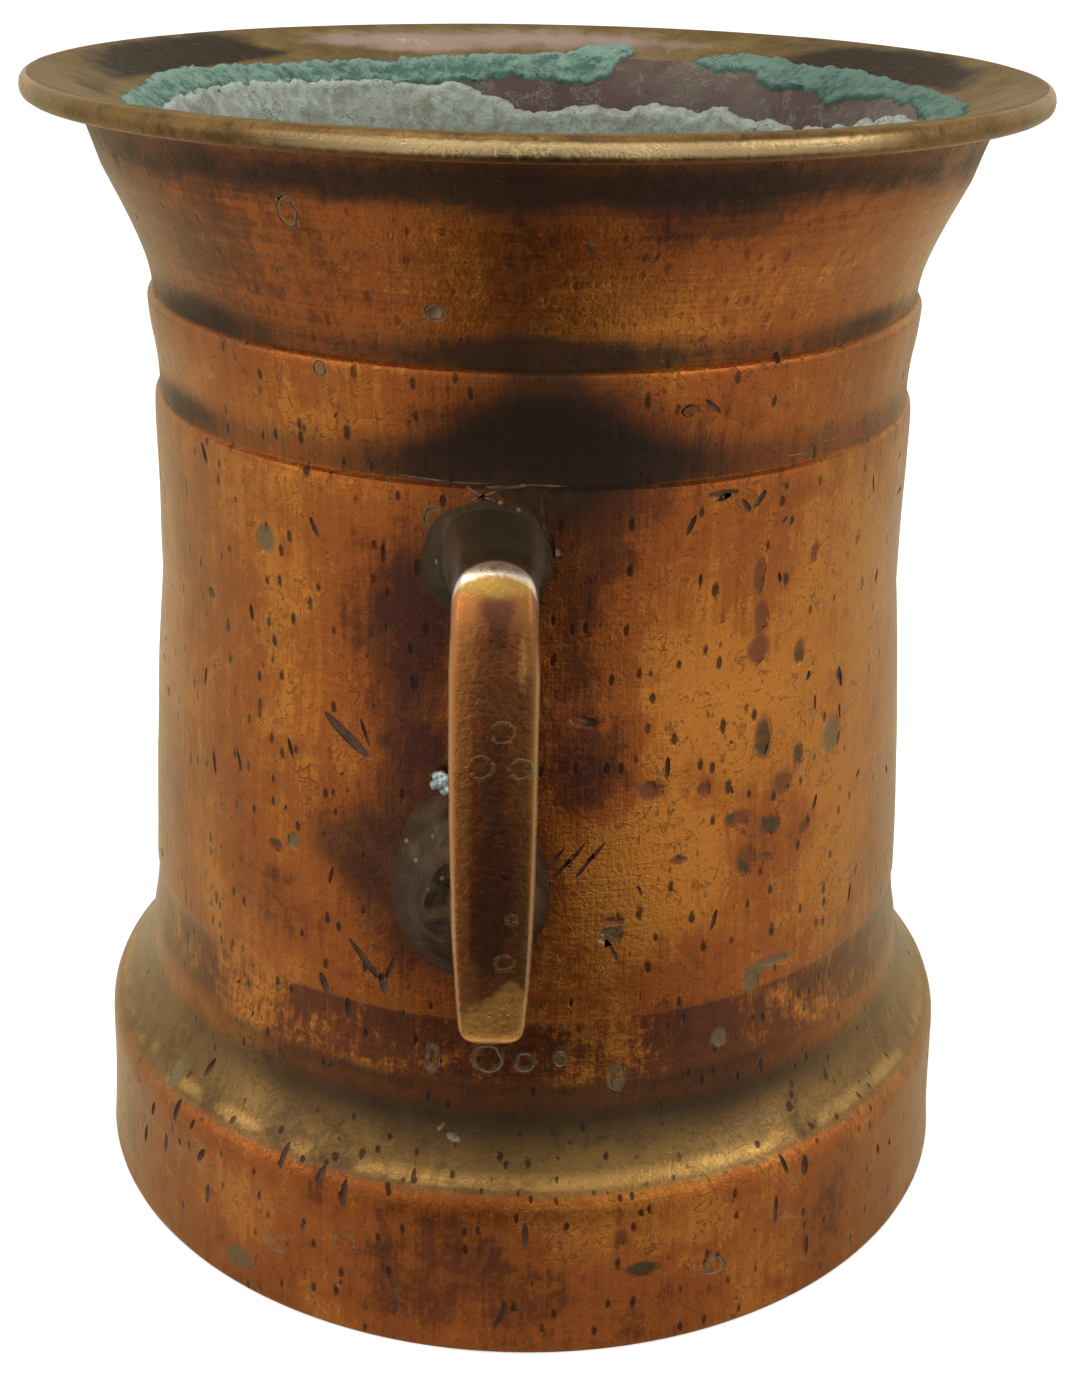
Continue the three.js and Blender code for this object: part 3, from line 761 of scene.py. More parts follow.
def places_of(piece):
    """The points of a piece, in millimetres."""
    flat = np.empty(3 * len(piece.data.vertices), np.float32)
    piece.data.vertices.foreach_get("co", flat)
    return flat.reshape(-1, 3).astype(float) / MM


print(f"{len(oxide_marks) + len(grime_marks)} soft marks placed by hand")

# %% [markdown]
# The bronze itself is golden where hands have rubbed it, then orange, brown and maroon
# as the oxide gets thicker, olive-brass on the lip and on the roll of the foot, with
# black grime in the coves. Painted shade is laid over it too: in the coves, under the lip
# and above the roll of the foot, with a painted reflection down the middle of the front.
# One value, the wear, says how rubbed each place is. It adds clouds of several sizes,
# upright rubbing streaks and the painted marks, and four colours follow it. The burns,
# stains and rings are laid over that, each from its own painted layer. A painted sheen
# pales the sides, and a painted highlight lies on the front of the lip's rubbed edge and
# along the roll's lower edge. The lip's upper face has a finish of its own, because the
# camera sees it at a glancing angle, where a plain metal would turn white.

# %% The bronze finish
gold = colour(184, 114, 42)
orange = colour(150, 80, 28)
brown = colour(104, 53, 22)
maroon = colour(74, 38, 26)
olive = colour(122, 92, 48)
dark_olive = colour(66, 48, 24)
# Black for soot, and for the shade painted in the coves, under the lip and above the foot
soot_and_shade_black = colour(22, 16, 12)
speck_dark = colour(40, 22, 14)


def bronze_finish():
    """The bowl's own metal, with its oxide, grime, specks, burns and stains."""
    f = Finish("bowl bronze")
    place = f.place()
    z = f.axis(place, "Z")
    big = f.noise(f.stretch(place, 1, 1, 0.7), 20, 3, 0.5, 0.4) - 0.5
    mid = f.noise(f.shift(place, 31, 7, 3), 5.5, 5, 0.62, 0.7) - 0.5
    fine = f.noise(f.shift(place, 5, 90, 3), 1.3, 5, 0.65, 0.8) - 0.5
    grit = f.noise(f.shift(place, 50, 9, 30), 0.45, 3, 0.6) - 0.5
    upright = f.noise(f.stretch(place, 1, 1, 0.05), 0.4, 3, 0.6) - 0.5
    rubbed = f.noise(f.stretch(place, 1, 1, 0.06), 1.3, 4, 0.6) - 0.5
    turning = f.noise(f.stretch(place, 0.02, 0.02, 1), 0.5, 3, 0.7) - 0.5
    scribble_field = f.noise(f.shift(place, 3, 3, 60), 2.4, 4, 0.6, 1.2) - 0.5
    # Painted oxide, with a painted reflection down the middle of the front
    oxide = f.painted("oxide")

    on_neck = f.step(z, 112, 117)
    wear = 0.2 + big * 2.2 + mid * (1.9 - on_neck * 0.9) + fine * 1.1 + grit * 0.4
    wear = wear + upright * 0.7 + rubbed * 0.9 - oxide * 0.95 + turning * on_neck * 1.1
    tone = f.mix(f.step(wear, -0.95, -0.45), maroon, brown)
    tone = f.mix(f.step(wear, -0.5, 0.1), tone, orange)
    tone = f.mix(f.step(wear, 0.1, 0.9), tone, gold)
    lines = f.step(f.size_of(scribble_field), 0.035, 0.01) * f.step(mid + fine, -0.05, 0.12)
    tone = f.mix(lines * 0.7, tone, brown)

    lip = f.step(z + mid * 0.3, 137.3, 137.8)
    roll = f.step(z + mid * 1.2, 20.5, 21.7) * f.step(z + mid * 3, 31, 28)
    brass = lip.at_least(roll)
    brass_tone = f.mix(f.step(big + mid + fine * 0.6, -0.3, 0.3), dark_olive, olive)
    tone = f.mix(brass * 0.95, tone, brass_tone)

    glint = f.step(z, 21.4, 22.0) * f.step(z, 23.4, 22.2) * f.step(big + mid - oxide * 0.1, -0.1, 0.15)
    tone = f.mix(glint * 0.45, tone, colour(196, 150, 80))

    band = f.step(z + mid * 2, 31, 34) * f.step(z + mid * 0.8, 41.0, 40.4)
    tone = f.mix(band * f.step(wear, 0.8, 0.1) * 0.8, tone, maroon)

    # Painted shade in the coves, under the lip and above the roll of the foot, added to the painted grime
    # and shade and all drawn towards black
    cove_shade_and_grime = f.step(z, 102.7, 103.4) * f.step(z, 109, 104.5) + f.step(z, 114.9, 115.5) * f.step(z, 120, 116)
    under_lip_shade = f.step(z + mid * 4, 130, 134.5) * (1 - lip)
    foot_shade = f.step(z + mid * 2, 34.5, 32) * f.step(z + mid * 2, 23, 29.5)
    grime_shade_total = f.painted("grime") + cove_shade_and_grime * 0.62 + under_lip_shade * 0.62 + foot_shade * 0.86 + mid * 0.9 + fine * 0.6
    soot_and_shade = f.step(grime_shade_total, 0.1, 1.15)
    tone = f.mix(soot_and_shade * 0.9, tone, soot_and_shade_black)

    speck_field = f.stretch(place, 1, 1, 0.45)
    draw = f.axis(f.cells(speck_field, 1.5, "Color"), "X")
    small = f.step(f.cells(speck_field, 1.5) + fine * 0.2, 0.28, 0.14) * f.step(draw + big, 0.66, 0.72)
    draw = f.axis(f.cells(speck_field, 2.6, "Color"), "Y")
    large = f.step(f.cells(speck_field, 2.6) + fine * 0.3, 0.2, 0.1) * f.step(draw, 0.6, 0.66)
    specks = small.at_least(large) * (1 - on_neck * 0.55)
    tone = f.mix(specks * 0.85, tone, speck_dark)

    kind = f.step(f.noise(f.shift(place, 70, 20, 10), 6, 1) + mid * 0.4, 0.5, 0.56)
    burnt = f.step(f.painted("burn") + mid * 0.3 + fine * 0.4, 0.35, 0.8)
    tone = f.mix(burnt * 0.9, tone, f.mix(kind, colour(112, 62, 38), colour(62, 54, 38)))
    stained = f.step(f.painted("stain") + mid * 0.3 + fine * 0.3, 0.35, 0.75)
    tone = f.mix(stained * 0.85, tone, colour(106, 92, 64))
    ringed = f.step(f.painted("ring") + fine * 0.3, 0.45, 0.8)
    tone = f.mix(ringed * 0.6, tone, colour(128, 108, 80))
    halo = f.step(f.painted("halo") + mid * 0.6 + fine * 0.4, 0.35, 0.85)
    halo_tone = f.mix(f.step(fine + mid, -0.1, 0.2), colour(60, 34, 21), colour(78, 48, 29))
    tone = f.mix(halo * 0.7, tone, halo_tone)
    # Painted sheen: the sides are paled, as glancing metal looks in a white room
    tone = f.mix(f.painted("film") * (1 - soot_and_shade), tone, colour(162, 133, 90))
    # The lip's rubbed top edge, lit by a painted highlight that fades away from the front
    edge = f.painted("edge") * f.step(z + fine * 0.4, 137.8, 138.3) * f.step(z + fine * 0.3, 139.5, 139.1)
    tone = f.mix(edge, tone, colour(206, 176, 124))
    throat = f.painted("inner") * f.step(z + mid * 1.2, 137.3, 136.5)
    skin = f.mix(f.step(mid + big, -0.2, 0.2), colour(78, 58, 54), colour(94, 82, 74))
    curls = f.step(f.size_of(scribble_field), 0.03, 0.01) * f.step(mid, -0.02, 0.08)
    skin = f.mix(curls * 0.6, skin, colour(132, 126, 116))
    tone = f.mix(throat, tone, skin)

    dull = (soot_and_shade * 0.22 + throat * 0.25).at_most(0.3)
    rough = 0.36 - wear * 0.07 + fine * 0.25 + grit * 0.15 + dull - (edge + glint) * 0.08
    f.set(Base_Color=tone, Roughness=rough.at_least(0.2))
    f.set(Metallic=1 - (soot_and_shade * 0.4 + throat * 0.8).at_most(0.85), Specular_Tint=colour(255, 232, 200))
    f.set(Sheen_Weight=0.42, Sheen_Roughness=0.3, Sheen_Tint=colour(240, 232, 172))
    f.set(Coat_Weight=(0.17 - soot_and_shade * 0.15).at_least(0), Coat_Roughness=0.35)

    relief = f.bump(mid * 0.4 + fine * 0.8 + grit * 0.5, 0.12)
    relief = f.bump(upright * (1 - brass), 0.05, relief)
    relief = f.bump(turning, 0.05, relief)
    relief = f.bump(0 - specks - lines * 0.3, 0.12, relief)
    f.set(Normal=relief)
    return f


def mark_finish(name, first, second, roughness, metallic):
    """The floor of a shallow mark: two colours in small clouds."""
    f = Finish(name)
    place = f.place()
    cloud = f.noise(place, 1.6, 5, 0.65, 0.5)
    f.set(Base_Color=f.mix(f.step(cloud, 0.35, 0.65), first, second), Roughness=roughness, Metallic=metallic)
    f.set(Normal=f.bump(cloud, 0.15))
    return f


def lip_finish():
    """The lip's upper face, where the glancing light of the room is duller than on the wall."""
    f = Finish("lip brass")
    place = f.place()
    mid = f.noise(f.shift(place, 31, 7, 3), 5, 4, 0.6, 0.5) - 0.5
    fine = f.noise(f.shift(place, 5, 90, 3), 1.1, 4, 0.65, 0.6) - 0.5
    marks = f.painted("lip") + mid * 0.6 + fine * 0.3
    tone = f.mix(f.step(mid + fine * 0.6, -0.2, 0.25), colour(104, 86, 58), colour(130, 110, 78))
    # Dark patina with a painted dark reflection, then pale patina with painted highlights, where the lip
    # marks say
    dark_patina_and_reflection = f.step(marks, -0.2, -0.7)
    tone = f.mix(dark_patina_and_reflection, tone, colour(44, 33, 18))
    tone = f.mix(f.step(marks, 0.2, 0.9), tone, colour(164, 143, 133))
    tone = f.mix(f.step(marks, 1.0, 1.25), tone, colour(213, 182, 161))
    rough = (0.42 + fine * 0.4 + dark_patina_and_reflection * 0.2).at_least(0.28)
    f.set(Base_Color=tone, Metallic=1 - dark_patina_and_reflection * 0.6, Roughness=rough)
    f.set(Specular_Tint=colour(222, 206, 182), Specular_IOR_Level=0.2)
    f.set(Normal=f.bump(mid * 0.5 + fine, 0.12))
    return f


bronze = bronze_finish()
lip_brass = lip_finish()
pit_oxide = mark_finish("pit oxide", colour(66, 40, 22), colour(100, 66, 40), 0.6, 0.35)
pale_metal = mark_finish("pale scratch", colour(92, 76, 54), colour(134, 116, 88), 0.5, 0.7)
print("bronze nodes:", len(bronze.tree.nodes))

# %% [markdown]
# The Boolean is a modifier on the turned body. Its result is read back through the
# dependency graph and becomes the mesh, and the cutters are thrown away. Two blocks are
# cut out with the rest: the pockets that the handle's tangs sit in. The marks are
# painted last, on the points that are really there.

# %% The finished bowl
pocket_clearance = 0.3
cutter_stand = 3
tang_width = 6.4
tang_depth = 3.2
# Bearing offset in millimetres, height of the middle, and height of each tang
tangs = [(-4.4, upper_root, 6.4), (-4.4, lower_root, 11.0)]
for offset, middle, tall in tangs:
    cube = bmesh.ops.create_cube(cutters, size=1)["verts"]
    wall = wall_radius(middle)
    low = wall - tang_depth - pocket_clearance
    high = wall + cutter_stand
    grown = 2 * pocket_clearance
    size = Matrix.Diagonal(((tang_width + grown) * MM, (high - low) * MM, (tall + grown) * MM, 1))
    seat = Vector((offset * MM, -(high + low) / 2 * MM, middle * MM))
    bmesh.ops.transform(cutters, matrix=Matrix.Translation(seat) @ size, verts=cube)

marks = (pit_oxide, pale_metal)
blank = object_from(turned, "bowl_blank", bronze, *marks)
cutter = object_from(cutters, "pit_cutters", bronze, *marks)
cut = blank.modifiers.new("pits", "BOOLEAN")
cut.object = cutter
cut.operation = "DIFFERENCE"
cut.solver = "MANIFOLD"
cut.material_mode = "TRANSFER"
finished = baked(blank)
bpy.data.objects.remove(cutter)
shade(finished)
upper_face = len(marks) + 1
for face in finished.faces:
    middle = face.calc_center_median() / MM
    near_lip = middle.z > lip_under - 0.4 and middle.xy.length < rim_radius - under_inset
    if near_lip and face.normal.z > 0.5:
        face.material_index = upper_face
bowl = object_from(finished, "grinding_bowl", bronze, *marks, lip_brass)

places = places_of(bowl)
radius = np.hypot(places[:, 0], places[:, 1])
deep = np.interp(places[:, 2], wall_heights, wall_radii) - radius
on_lip = places[:, 2] > lip_under + 0.3
throat_inset = 1.2
throat_depth = 2.2
# The lip's upper face: bearing, radius, half width, half height, strength; below 0 is dark. The marks are
# partly patina and partly painted reflection: dark where the lip mirrors a dark room, pale highlights at the
# back
lip_patina_and_reflection_marks = [
    (-121, 51.5, 25, 5.5, -1.5), (-88, 56, 10, 3, 0.2), (-145, 53, 10, 3, 0.9), (178, 52.5, 46, 4, 0.8),
    (-160, 51, 7, 2.0, 0.9), (120, 51.5, 22, 5, -1.5), (84, 54, 9, 3, 0.4), (0, 53, 46, 5, 0.3),
    (150, 56, 12, 2, -0.5), (-75, 51, 9, 3, -0.5),
]
point_bearing = np.degrees(np.arctan2(places[:, 0], -places[:, 1]))


def turn_from(bearing):
    """For each point of the bowl, the turn from a bearing, in radians."""
    return np.radians((point_bearing - bearing + 180) % 360 - 180)


lip_patina_and_reflection = np.zeros(len(places))
for bearing, middle, half_width, half_height, strength in lip_patina_and_reflection_marks:
    across = turn_from(bearing) * radius / half_width
    lip_patina_and_reflection += strength * np.exp(-across ** 2 - ((radius - middle) / half_height) ** 2)
# How strong the painted highlight on the lip's rubbed edge is at each bearing, brightest in front
rim_highlight = np.interp(point_bearing, [-28, -20, -14, -9, 9, 15, 32, 38],
                       [0, 0.4, 0.65, 1, 1, 0.65, 0.45, 0])
ring_marks = np.zeros(len(places))
for bearing, z, half_width, half_height in rings:
    across = np.hypot(turn_from(bearing) * radius / half_width, (places[:, 2] - z) / half_height)
    ring_marks += np.exp(-((across - 1) * half_width / 0.25) ** 2)
paint(
    bowl,
    oxide=soft(bowl, strewn(oxide_marks)),
    grime=soft(bowl, strewn(grime_marks)),
    lip=lip_patina_and_reflection * on_lip,
    inner=np.where(on_lip, radius < rim_radius - throat_inset, deep > throat_depth),
    # The lip's rubbed top edge and its painted highlight
    edge=on_lip * (radius > rim_radius - worn_inset) * rim_highlight,
    burn=soft(bowl, round_marks(burns)),
    stain=soft(bowl, round_marks(stains)),
    ring=ring_marks,
    # A painted pale sheen, strongest on the sides
    film=0.45 * np.sin(np.radians(point_bearing)) ** 6,
    halo=soft(bowl, halo_marks),
)
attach(bowl, "root")
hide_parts("bowl_casting")
print(f"{triangles(bowl)} triangles on the bowl")

# %% [markdown]
# The handle is an ear: an upper arm that leaves the wall as thick as a finger, turns down
# into a flat strap, and ends in a free rounded tail, with a lower arm behind. A smith
# would think of it as one bar that changes its section on the way. So a small grid, the
# bar's end, is extruded from station to station, and each new end is put in its place
# and given its own size. Subdivision then softens the chamfers as handling does.

# %% The handle's bars
strap_middle = -3.4
strap_width = 9.1
strap_thickness = 4.4
corner_radius = 4.6
strap_top = 100.2
tail_end = 45.2
tail_lean = 1.95
# The filed skin's lumps, their size in metres and their depth in millimetres
skin_lumps = 0.0045
skin_depth = 0.06
face_room = 0.2
station_spacing = 0.75
# The middle of the strap's thickness, with room for its crowned face inside the solids' box
strap_out = strap_face - strap_thickness / 2 - face_room
drawn_columns = [-1, -0.9, -0.46, 0, 0.46, 0.9, 1]
drawn_rows = [-1, -0.72, 0, 0.72, 1]


def station(out, z, turn, x, width, thick, roundness):
    """A place on a bar's way, and the size and roundness of its section there."""
    return dict(out=out, z=z, turn=turn, x=x, width=width, thick=thick, roundness=roundness)


def between(first, second, count):
    """Stations that pass smoothly from one to another, without the first."""
    steps = []
    for i in range(1, count + 1):
        share = i / count
        soft_share = share * share * (3 - 2 * share)
        mixed = {key: first[key] + (second[key] - first[key]) * soft_share for key in first}
        mixed["out"] = first["out"] + (second["out"] - first["out"]) * share
        steps.append(mixed)
    return steps


def bar(stations):
    """A closed bar through the stations, made by extruding its end from each to the next."""
    bm = bmesh.new()
    bmesh.ops.create_grid(bm, x_segments=6, y_segments=4, size=1)
    # The grid's columns and rows are drawn to the section's edges, to make the chamfers
    for vert in bm.verts:
        across = np.interp(vert.co.x, [-1, -2 / 3, -1 / 3, 0, 1 / 3, 2 / 3, 1], drawn_columns)
        rise = np.interp(vert.co.y, [-1, -0.5, 0, 0.5, 1], drawn_rows)
        vert.co = (across, rise, 0)
    u_layer = bm.verts.layers.float.new("across")
    v_layer = bm.verts.layers.float.new("rise")
    for vert in bm.verts:
        vert[u_layer], vert[v_layer] = vert.co.x, vert.co.y

    def put(verts, at):
        """Moves an end's points to a station."""
        for vert in verts:
            across, rise = vert[u_layer], vert[v_layer]
            rim = max(abs(across), abs(rise))
            angle = math.atan2(rise, across)
            flat = Vector((across, rise))
            if abs(across) == 1 and abs(rise) == 1:
                flat = Vector((across * 0.93, rise * 0.86))
            elif abs(rise) == 1:
                flat.y *= 1 + 0.1 * (1 - across * across)
            oval = Vector((math.cos(angle), math.sin(angle))) * rim
            mixed = flat.lerp(oval, at["roundness"])
            side = mixed.x * at["width"] / 2
            lift = mixed.y * at["thick"] / 2
            out = at["out"] + lift * math.sin(at["turn"])
            z = at["z"] + lift * math.cos(at["turn"])
            vert.co = Vector((at["x"] + side, -out, z)) * MM

    put(bm.verts, stations[0])
    end = bm.faces[:]
    for number, at in enumerate(stations[1:]):
        grown = bmesh.ops.extrude_face_region(bm, geom=end)["geom"]
        if number:
            bmesh.ops.delete(bm, geom=end, context="FACES")
        end = [item for item in grown if isinstance(item, bmesh.types.BMFace)]
        put([item for item in grown if isinstance(item, bmesh.types.BMVert)], at)
    return bm


bend_out = strap_out - corner_radius
bend_z = strap_top - strap_thickness / 2 - corner_radius
root = station(wall_up - 2.4, 94.8, 0, -4.0, 11.8, 12.4, 0.9)
knee = station(bend_out, bend_z + corner_radius, 0, strap_middle, strap_width * 0.99, strap_thickness, 0.85)
tang = dict(root, out=wall_up - tang_depth, width=tang_width, thick=tangs[0][2], x=tangs[0][0])
path = [tang, dict(tang, out=root["out"]), root] + between(root, knee, 17)
turns = 8
for i in range(1, turns + 1):
    turn = math.pi / 2 * i / turns
    path.append(station(
        bend_out + corner_radius * math.sin(turn), bend_z + corner_radius * math.cos(turn), turn,
        strap_middle, strap_width * (0.99 - 0.02 * i / turns), strap_thickness, 0.85 - 0.5 * i / turns,
    ))
drop = bend_z - tail_end
tail_round = 2.3
count = round(drop / station_spacing)
for i in range(1, count + 1):
    share = i / count
    z = bend_z - drop * share
    shoulder = min(1, share * 12)
    taper = 1 - 0.25 * share ** 4
    left = max(0.0, tail_round - (z - tail_end))
    rounding = 1 - math.sqrt(max(0, 1 - (left / tail_round) ** 2))
    path.append(station(
        strap_out - tail_lean * share ** 3, z, math.pi / 2 + math.atan(3 * share ** 2 * tail_lean / drop),
        strap_middle, strap_width * (0.97 + 0.03 * shoulder) * taper - 2 * tail_round * rounding * 0.86,
        strap_thickness * (1 - 0.27 * share ** 2) * (1 - 0.6 * rounding), 0.35 - 0.29 * shoulder,
    ))
upper_bar = bar(path)

low_root = station(wall_low - 2.6, lower_root, 0, -4.6, 10.6, 17, 0.95)
low_end = station(strap_out - 1.0, lower_root, 0, strap_middle, 7.2, 11.5, 0.95)
low_tang = dict(low_root, out=wall_low - tang_depth, width=tang_width, thick=tangs[1][2], x=tangs[1][0])
lower_bar = bar([low_tang, dict(low_tang, out=low_root["out"]), low_root] + between(low_root, low_end, 18))
for shape in (upper_bar, lower_bar):
    bmesh.ops.recalc_face_normals(shape, faces=shape.faces)
    open_edges = sum(1 for edge in shape.edges if len(edge.link_faces) != 2)
    print(f"{len(shape.faces)} faces in a bar, {open_edges} open edges")

# %% [markdown]
# The two bars become one by a Boolean union after each has been subdivided. Then the
# skin gets the small unevenness of a filed casting. Its finish follows the strap: pale
# chamfers, orange-brown on the left, dark along the middle, golden on the right and at
# the tail, and dark olive where the solder has burnt on to the arms.

# %% The handle's finish
strap_marks = [
    # Sideways from the middle, height, half width, half height, strength; below 0 is bright
    (0.2, 96.6, 1.9, 1.6, 1.2), (0.4, 93.9, 1.1, 2.2, 0.9), (0.0, 80, 1.9, 7, 0.8),
    (0.4, 69, 2.3, 6, 1.1),
    (-0.2, 61, 2.2, 5, 1.1), (0.2, 56.6, 1.7, 2.4, 0.8), (2.8, 92, 0.8, 5, -0.7), (3.2, 80, 0.5, 8, -0.3),
    (1.8, 51.6, 1.5, 3.0, -1.3), (0, 48, 3.6, 3.8, -1.7), (-2.6, 90, 1.0, 8, -0.25),
    (2.2, 75, 1.1, 1.1, -0.4), (1.5, 57.6, 1.1, 2.6, -0.2),
]
strap_rings = [(0.9, 83.4, 1.15), (-1.2, 79.6, 1.2), (2.8, 79.4, 1.1), (1.3, 56.6, 0.95), (2.0, 62.0, 0.6)]


def handle_finish():
    """The handle's metal, pale on its chamfers and burnt dark on its arms."""
    f = Finish("handle bronze")
    place = f.place()
    z = f.axis(place, "Z")
    out = 0 - f.axis(place, "Y")
    mid = f.noise(f.stretch(place, 1, 1, 0.6), 3.2, 5, 0.6, 0.5) - 0.5
    fine = f.noise(f.shift(place, 4, 4, 9), 0.8, 4, 0.65, 0.6) - 0.5
    side = f.painted("side") + mid * 0.35
    shade_marks = f.painted("shade") + mid * 0.9 + fine * 0.5

    tone = f.mix(f.step(side, -0.62, -0.2), colour(184, 116, 60), colour(148, 88, 50))
    tone = f.mix(f.step(side, 0.35, 0.7), tone, colour(138, 90, 46))
    tone = f.mix(f.step(shade_marks, 0.15, 1.0), tone, colour(112, 68, 44))
    tone = f.mix(f.step(shade_marks, -0.3, -1.0), tone, colour(240, 174, 86))
    red = f.step(f.size_of(side + 0.42), 0.16, 0.04)
    red = red * f.step(z + mid * 12, 86, 80) * f.step(z + mid * 8, 56, 60)
    tone = f.mix(red * 0.6, tone, colour(128, 56, 26))
    ring = f.step(f.painted("ring") + fine * 0.7, 0.45, 0.9)
    tone = f.mix(ring * 0.55, tone, colour(124, 118, 84))
    specks = f.step(f.cells(place, 1.5), 0.16, 0.09) * f.step(z + mid * 10, 62, 50)
    tone = f.mix(specks * 0.8, tone, speck_dark)

    chamfer = f.step(f.size_of(f.painted("side")), 0.88, 0.95) * f.step(out, 60, 61.5)
    tone = f.mix(chamfer * 0.7, tone, colour(178, 138, 80))
    bow = f.painted("side") * f.painted("side")
    bent = f.step(z, 91, 93)
    half_moon = f.step(out + bow * 1.5 + mid * 0.6, 63.3, 62.5) * bent
    tone = f.mix(half_moon, tone, colour(158, 122, 58))
    # A painted highlight along the crest of the bend, where the arm turns down into the strap
    crest_highlight = f.step(out - bow * 0.9 + fine * 0.3, 61.5, 60.9) * bent
    tone = f.mix(crest_highlight, tone, colour(220, 203, 178))
    arm = f.step(out - bow * 2.2 * bent + mid * 0.15, 60.1, 59.3)
    arm_tone = f.mix(f.step(mid + fine, -0.2, 0.3), colour(50, 37, 19), colour(66, 50, 28))
    tone = f.mix(arm, tone, arm_tone)

    f.set(Base_Color=tone, Metallic=1 - arm * 0.5)
    f.set(Roughness=(0.36 + fine * 0.3 + arm * 0.12 - crest_highlight * 0.1 - chamfer * 0.06).at_least(0.2))
    f.set(Sheen_Weight=0.1, Sheen_Roughness=0.4, Sheen_Tint=colour(255, 226, 190))
    f.set(Coat_Weight=0.08, Coat_Roughness=0.3)
    relief = f.bump((mid * 0.5 + fine) * (1 - crest_highlight * 0.85), 0.1)
    f.set(Normal=f.bump(ring * 0.5 - specks, 0.08, relief))
    return f


handle_bronze = handle_finish()
lower = object_from(lower_bar, "lower_bar")
upper = object_from(upper_bar, "upper_bar")
for piece in (lower, upper):
    rounded = piece.modifiers.new("rounded", "SUBSURF")
    rounded.levels = 2
    rounded.render_levels = 2
joined = upper.modifiers.new("joined", "BOOLEAN")
joined.object = lower
joined.operation = "UNION"
joined.solver = "MANIFOLD"
ear = baked(upper)
bpy.data.objects.remove(lower)
for vert in ear.verts:
    vert.co += vert.normal * noise.noise(vert.co / skin_lumps) * skin_depth * MM
shade(ear, 50)
handle = object_from(ear, "ear_handle", handle_bronze)

places = places_of(handle)
x = places[:, 0] - strap_middle
z = places[:, 2]
half_width = np.interp(z, [tail_end, tail_end + 1.2, tail_end + tail_round, 55, 70, 100.5],
                       [1.6, 2.9, 3.35, 3.95, 4.45, 4.55])
shade_marks = sum(s * np.exp(-((x - a) / w) ** 2 - ((z - b) / h) ** 2) for a, b, w, h, s in strap_marks)
ring_marks = sum(np.exp(-((np.hypot(x - a, z - b) - r) / 0.28) ** 2) for a, b, r in strap_rings)
paint(handle, side=x / half_width, shade=shade_marks, ring=ring_marks * (places[:, 1] < -60))
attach(handle, "root")
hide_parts("handle_casting")
print(f"{triangles(handle)} triangles on the handle")

# %% [markdown]
# The handle was sweated on with soft solder, which ran into a smooth hollow bank round
# each root. A bank is a spun cup: its profile is drawn from the arm out to where it
# thins away on the wall, spun, then pulled wider on one side and laid on the wall by
# the same helper as the pits. Its back stays a little inside the wall, out of sight.

# %% The solder banks
bank_height = 3.4
bank_edge = 1.02
bank_back = 0.5
# Share of the way out from the middle, and depth towards the axis of the bowl
bank_profile = drawn((0, -bank_height), [
    [(0.48, -bank_height)],
    [(0.66, -0.6), (1.0, -0.02)],
    [(bank_edge, bank_back)],
    [(0.0, bank_back)],
], 0.05)


def solder_bank(name, x, z, left, right, top, bottom, reach, lumps):
    """A bank of solder round a place on the wall, so wide to each side, so high and low."""
    bm = bmesh.new()
    line = [bm.verts.new((share, out, 0)) for share, out in bank_profile]
    edges = [bm.edges.new(pair) for pair in zip(line, line[1:])]
    bmesh.ops.spin(bm, geom=line + edges, cent=(0, 0, 0), axis=(0, 1, 0), angle=2 * math.pi,
                   steps=96, use_merge=True)
    bmesh.ops.remove_doubles(bm, verts=bm.verts, dist=0.001)
    thin = []
    for vert in bm.verts:
        way = Vector((vert.co.x, 0, vert.co.z))
        thin.append(way.length)
        ragged = 1 + 0.08 * noise.noise(way.normalized() * 1.4 + Vector((z, 0, 0)))
        sideways = way.x * (right if way.x > 0 else left) * ragged
        rise = way.z * (top if way.z > 0 else bottom) * ragged
        lump = noise.noise(Vector((sideways, vert.co.y, rise)) / 2.2 + Vector((z, 0, 0))) * lumps
        out = -vert.co.y * (reach / bank_height if vert.co.y < 0 else 1)
        out += lump * min(1, 4 * (bank_edge - way.length))
        vert.co = on_wall(math.degrees(math.asin(x / wall_radius(z))), z + rise, sideways, out)
    bmesh.ops.recalc_face_normals(bm, faces=bm.faces)
    shade(bm, 50)
    piece = object_from(bm, name, solder)
    paint(piece, thin=thin)
    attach(piece, "root")
    return piece


def solder_finish():
    """Dull brown solder, olive near the upper arm, with a few pale flecks."""
    f = Finish("old solder")
    place = f.place()
    z = f.axis(place, "Z")
    mid = f.noise(place, 3.0, 5, 0.6, 0.6) - 0.5
    fine = f.noise(f.shift(place, 8, 1, 5), 0.7, 4, 0.65, 0.5) - 0.5
    thin = f.painted("thin") + mid * 0.3
    tone = f.mix(f.step(mid + fine * 0.5, -0.2, 0.25), colour(60, 43, 25), colour(86, 66, 42))
    tone = f.mix(f.step(thin, 0.72, 0.98), tone, colour(70, 46, 27))
    olive_top = f.step(z + mid * 4, 84, 90)
    olive_tone = f.mix(f.step(mid, -0.1, 0.2), colour(50, 37, 19), colour(66, 50, 28))
    tone = f.mix(olive_top * 0.7, tone, olive_tone)
    flecks = f.step(f.cells(place, 2.2), 0.16, 0.08)
    tone = f.mix(flecks * 0.5, tone, colour(150, 140, 122))
    f.set(Base_Color=tone, Metallic=0.85, Roughness=(0.46 + fine * 0.4 + mid * 0.2).at_least(0.25))
    f.set(Coat_Weight=0.08, Coat_Roughness=0.35)
    f.set(Normal=f.bump(mid * 0.6 + fine * 0.8 + flecks * 0.3, 0.16))
    return f


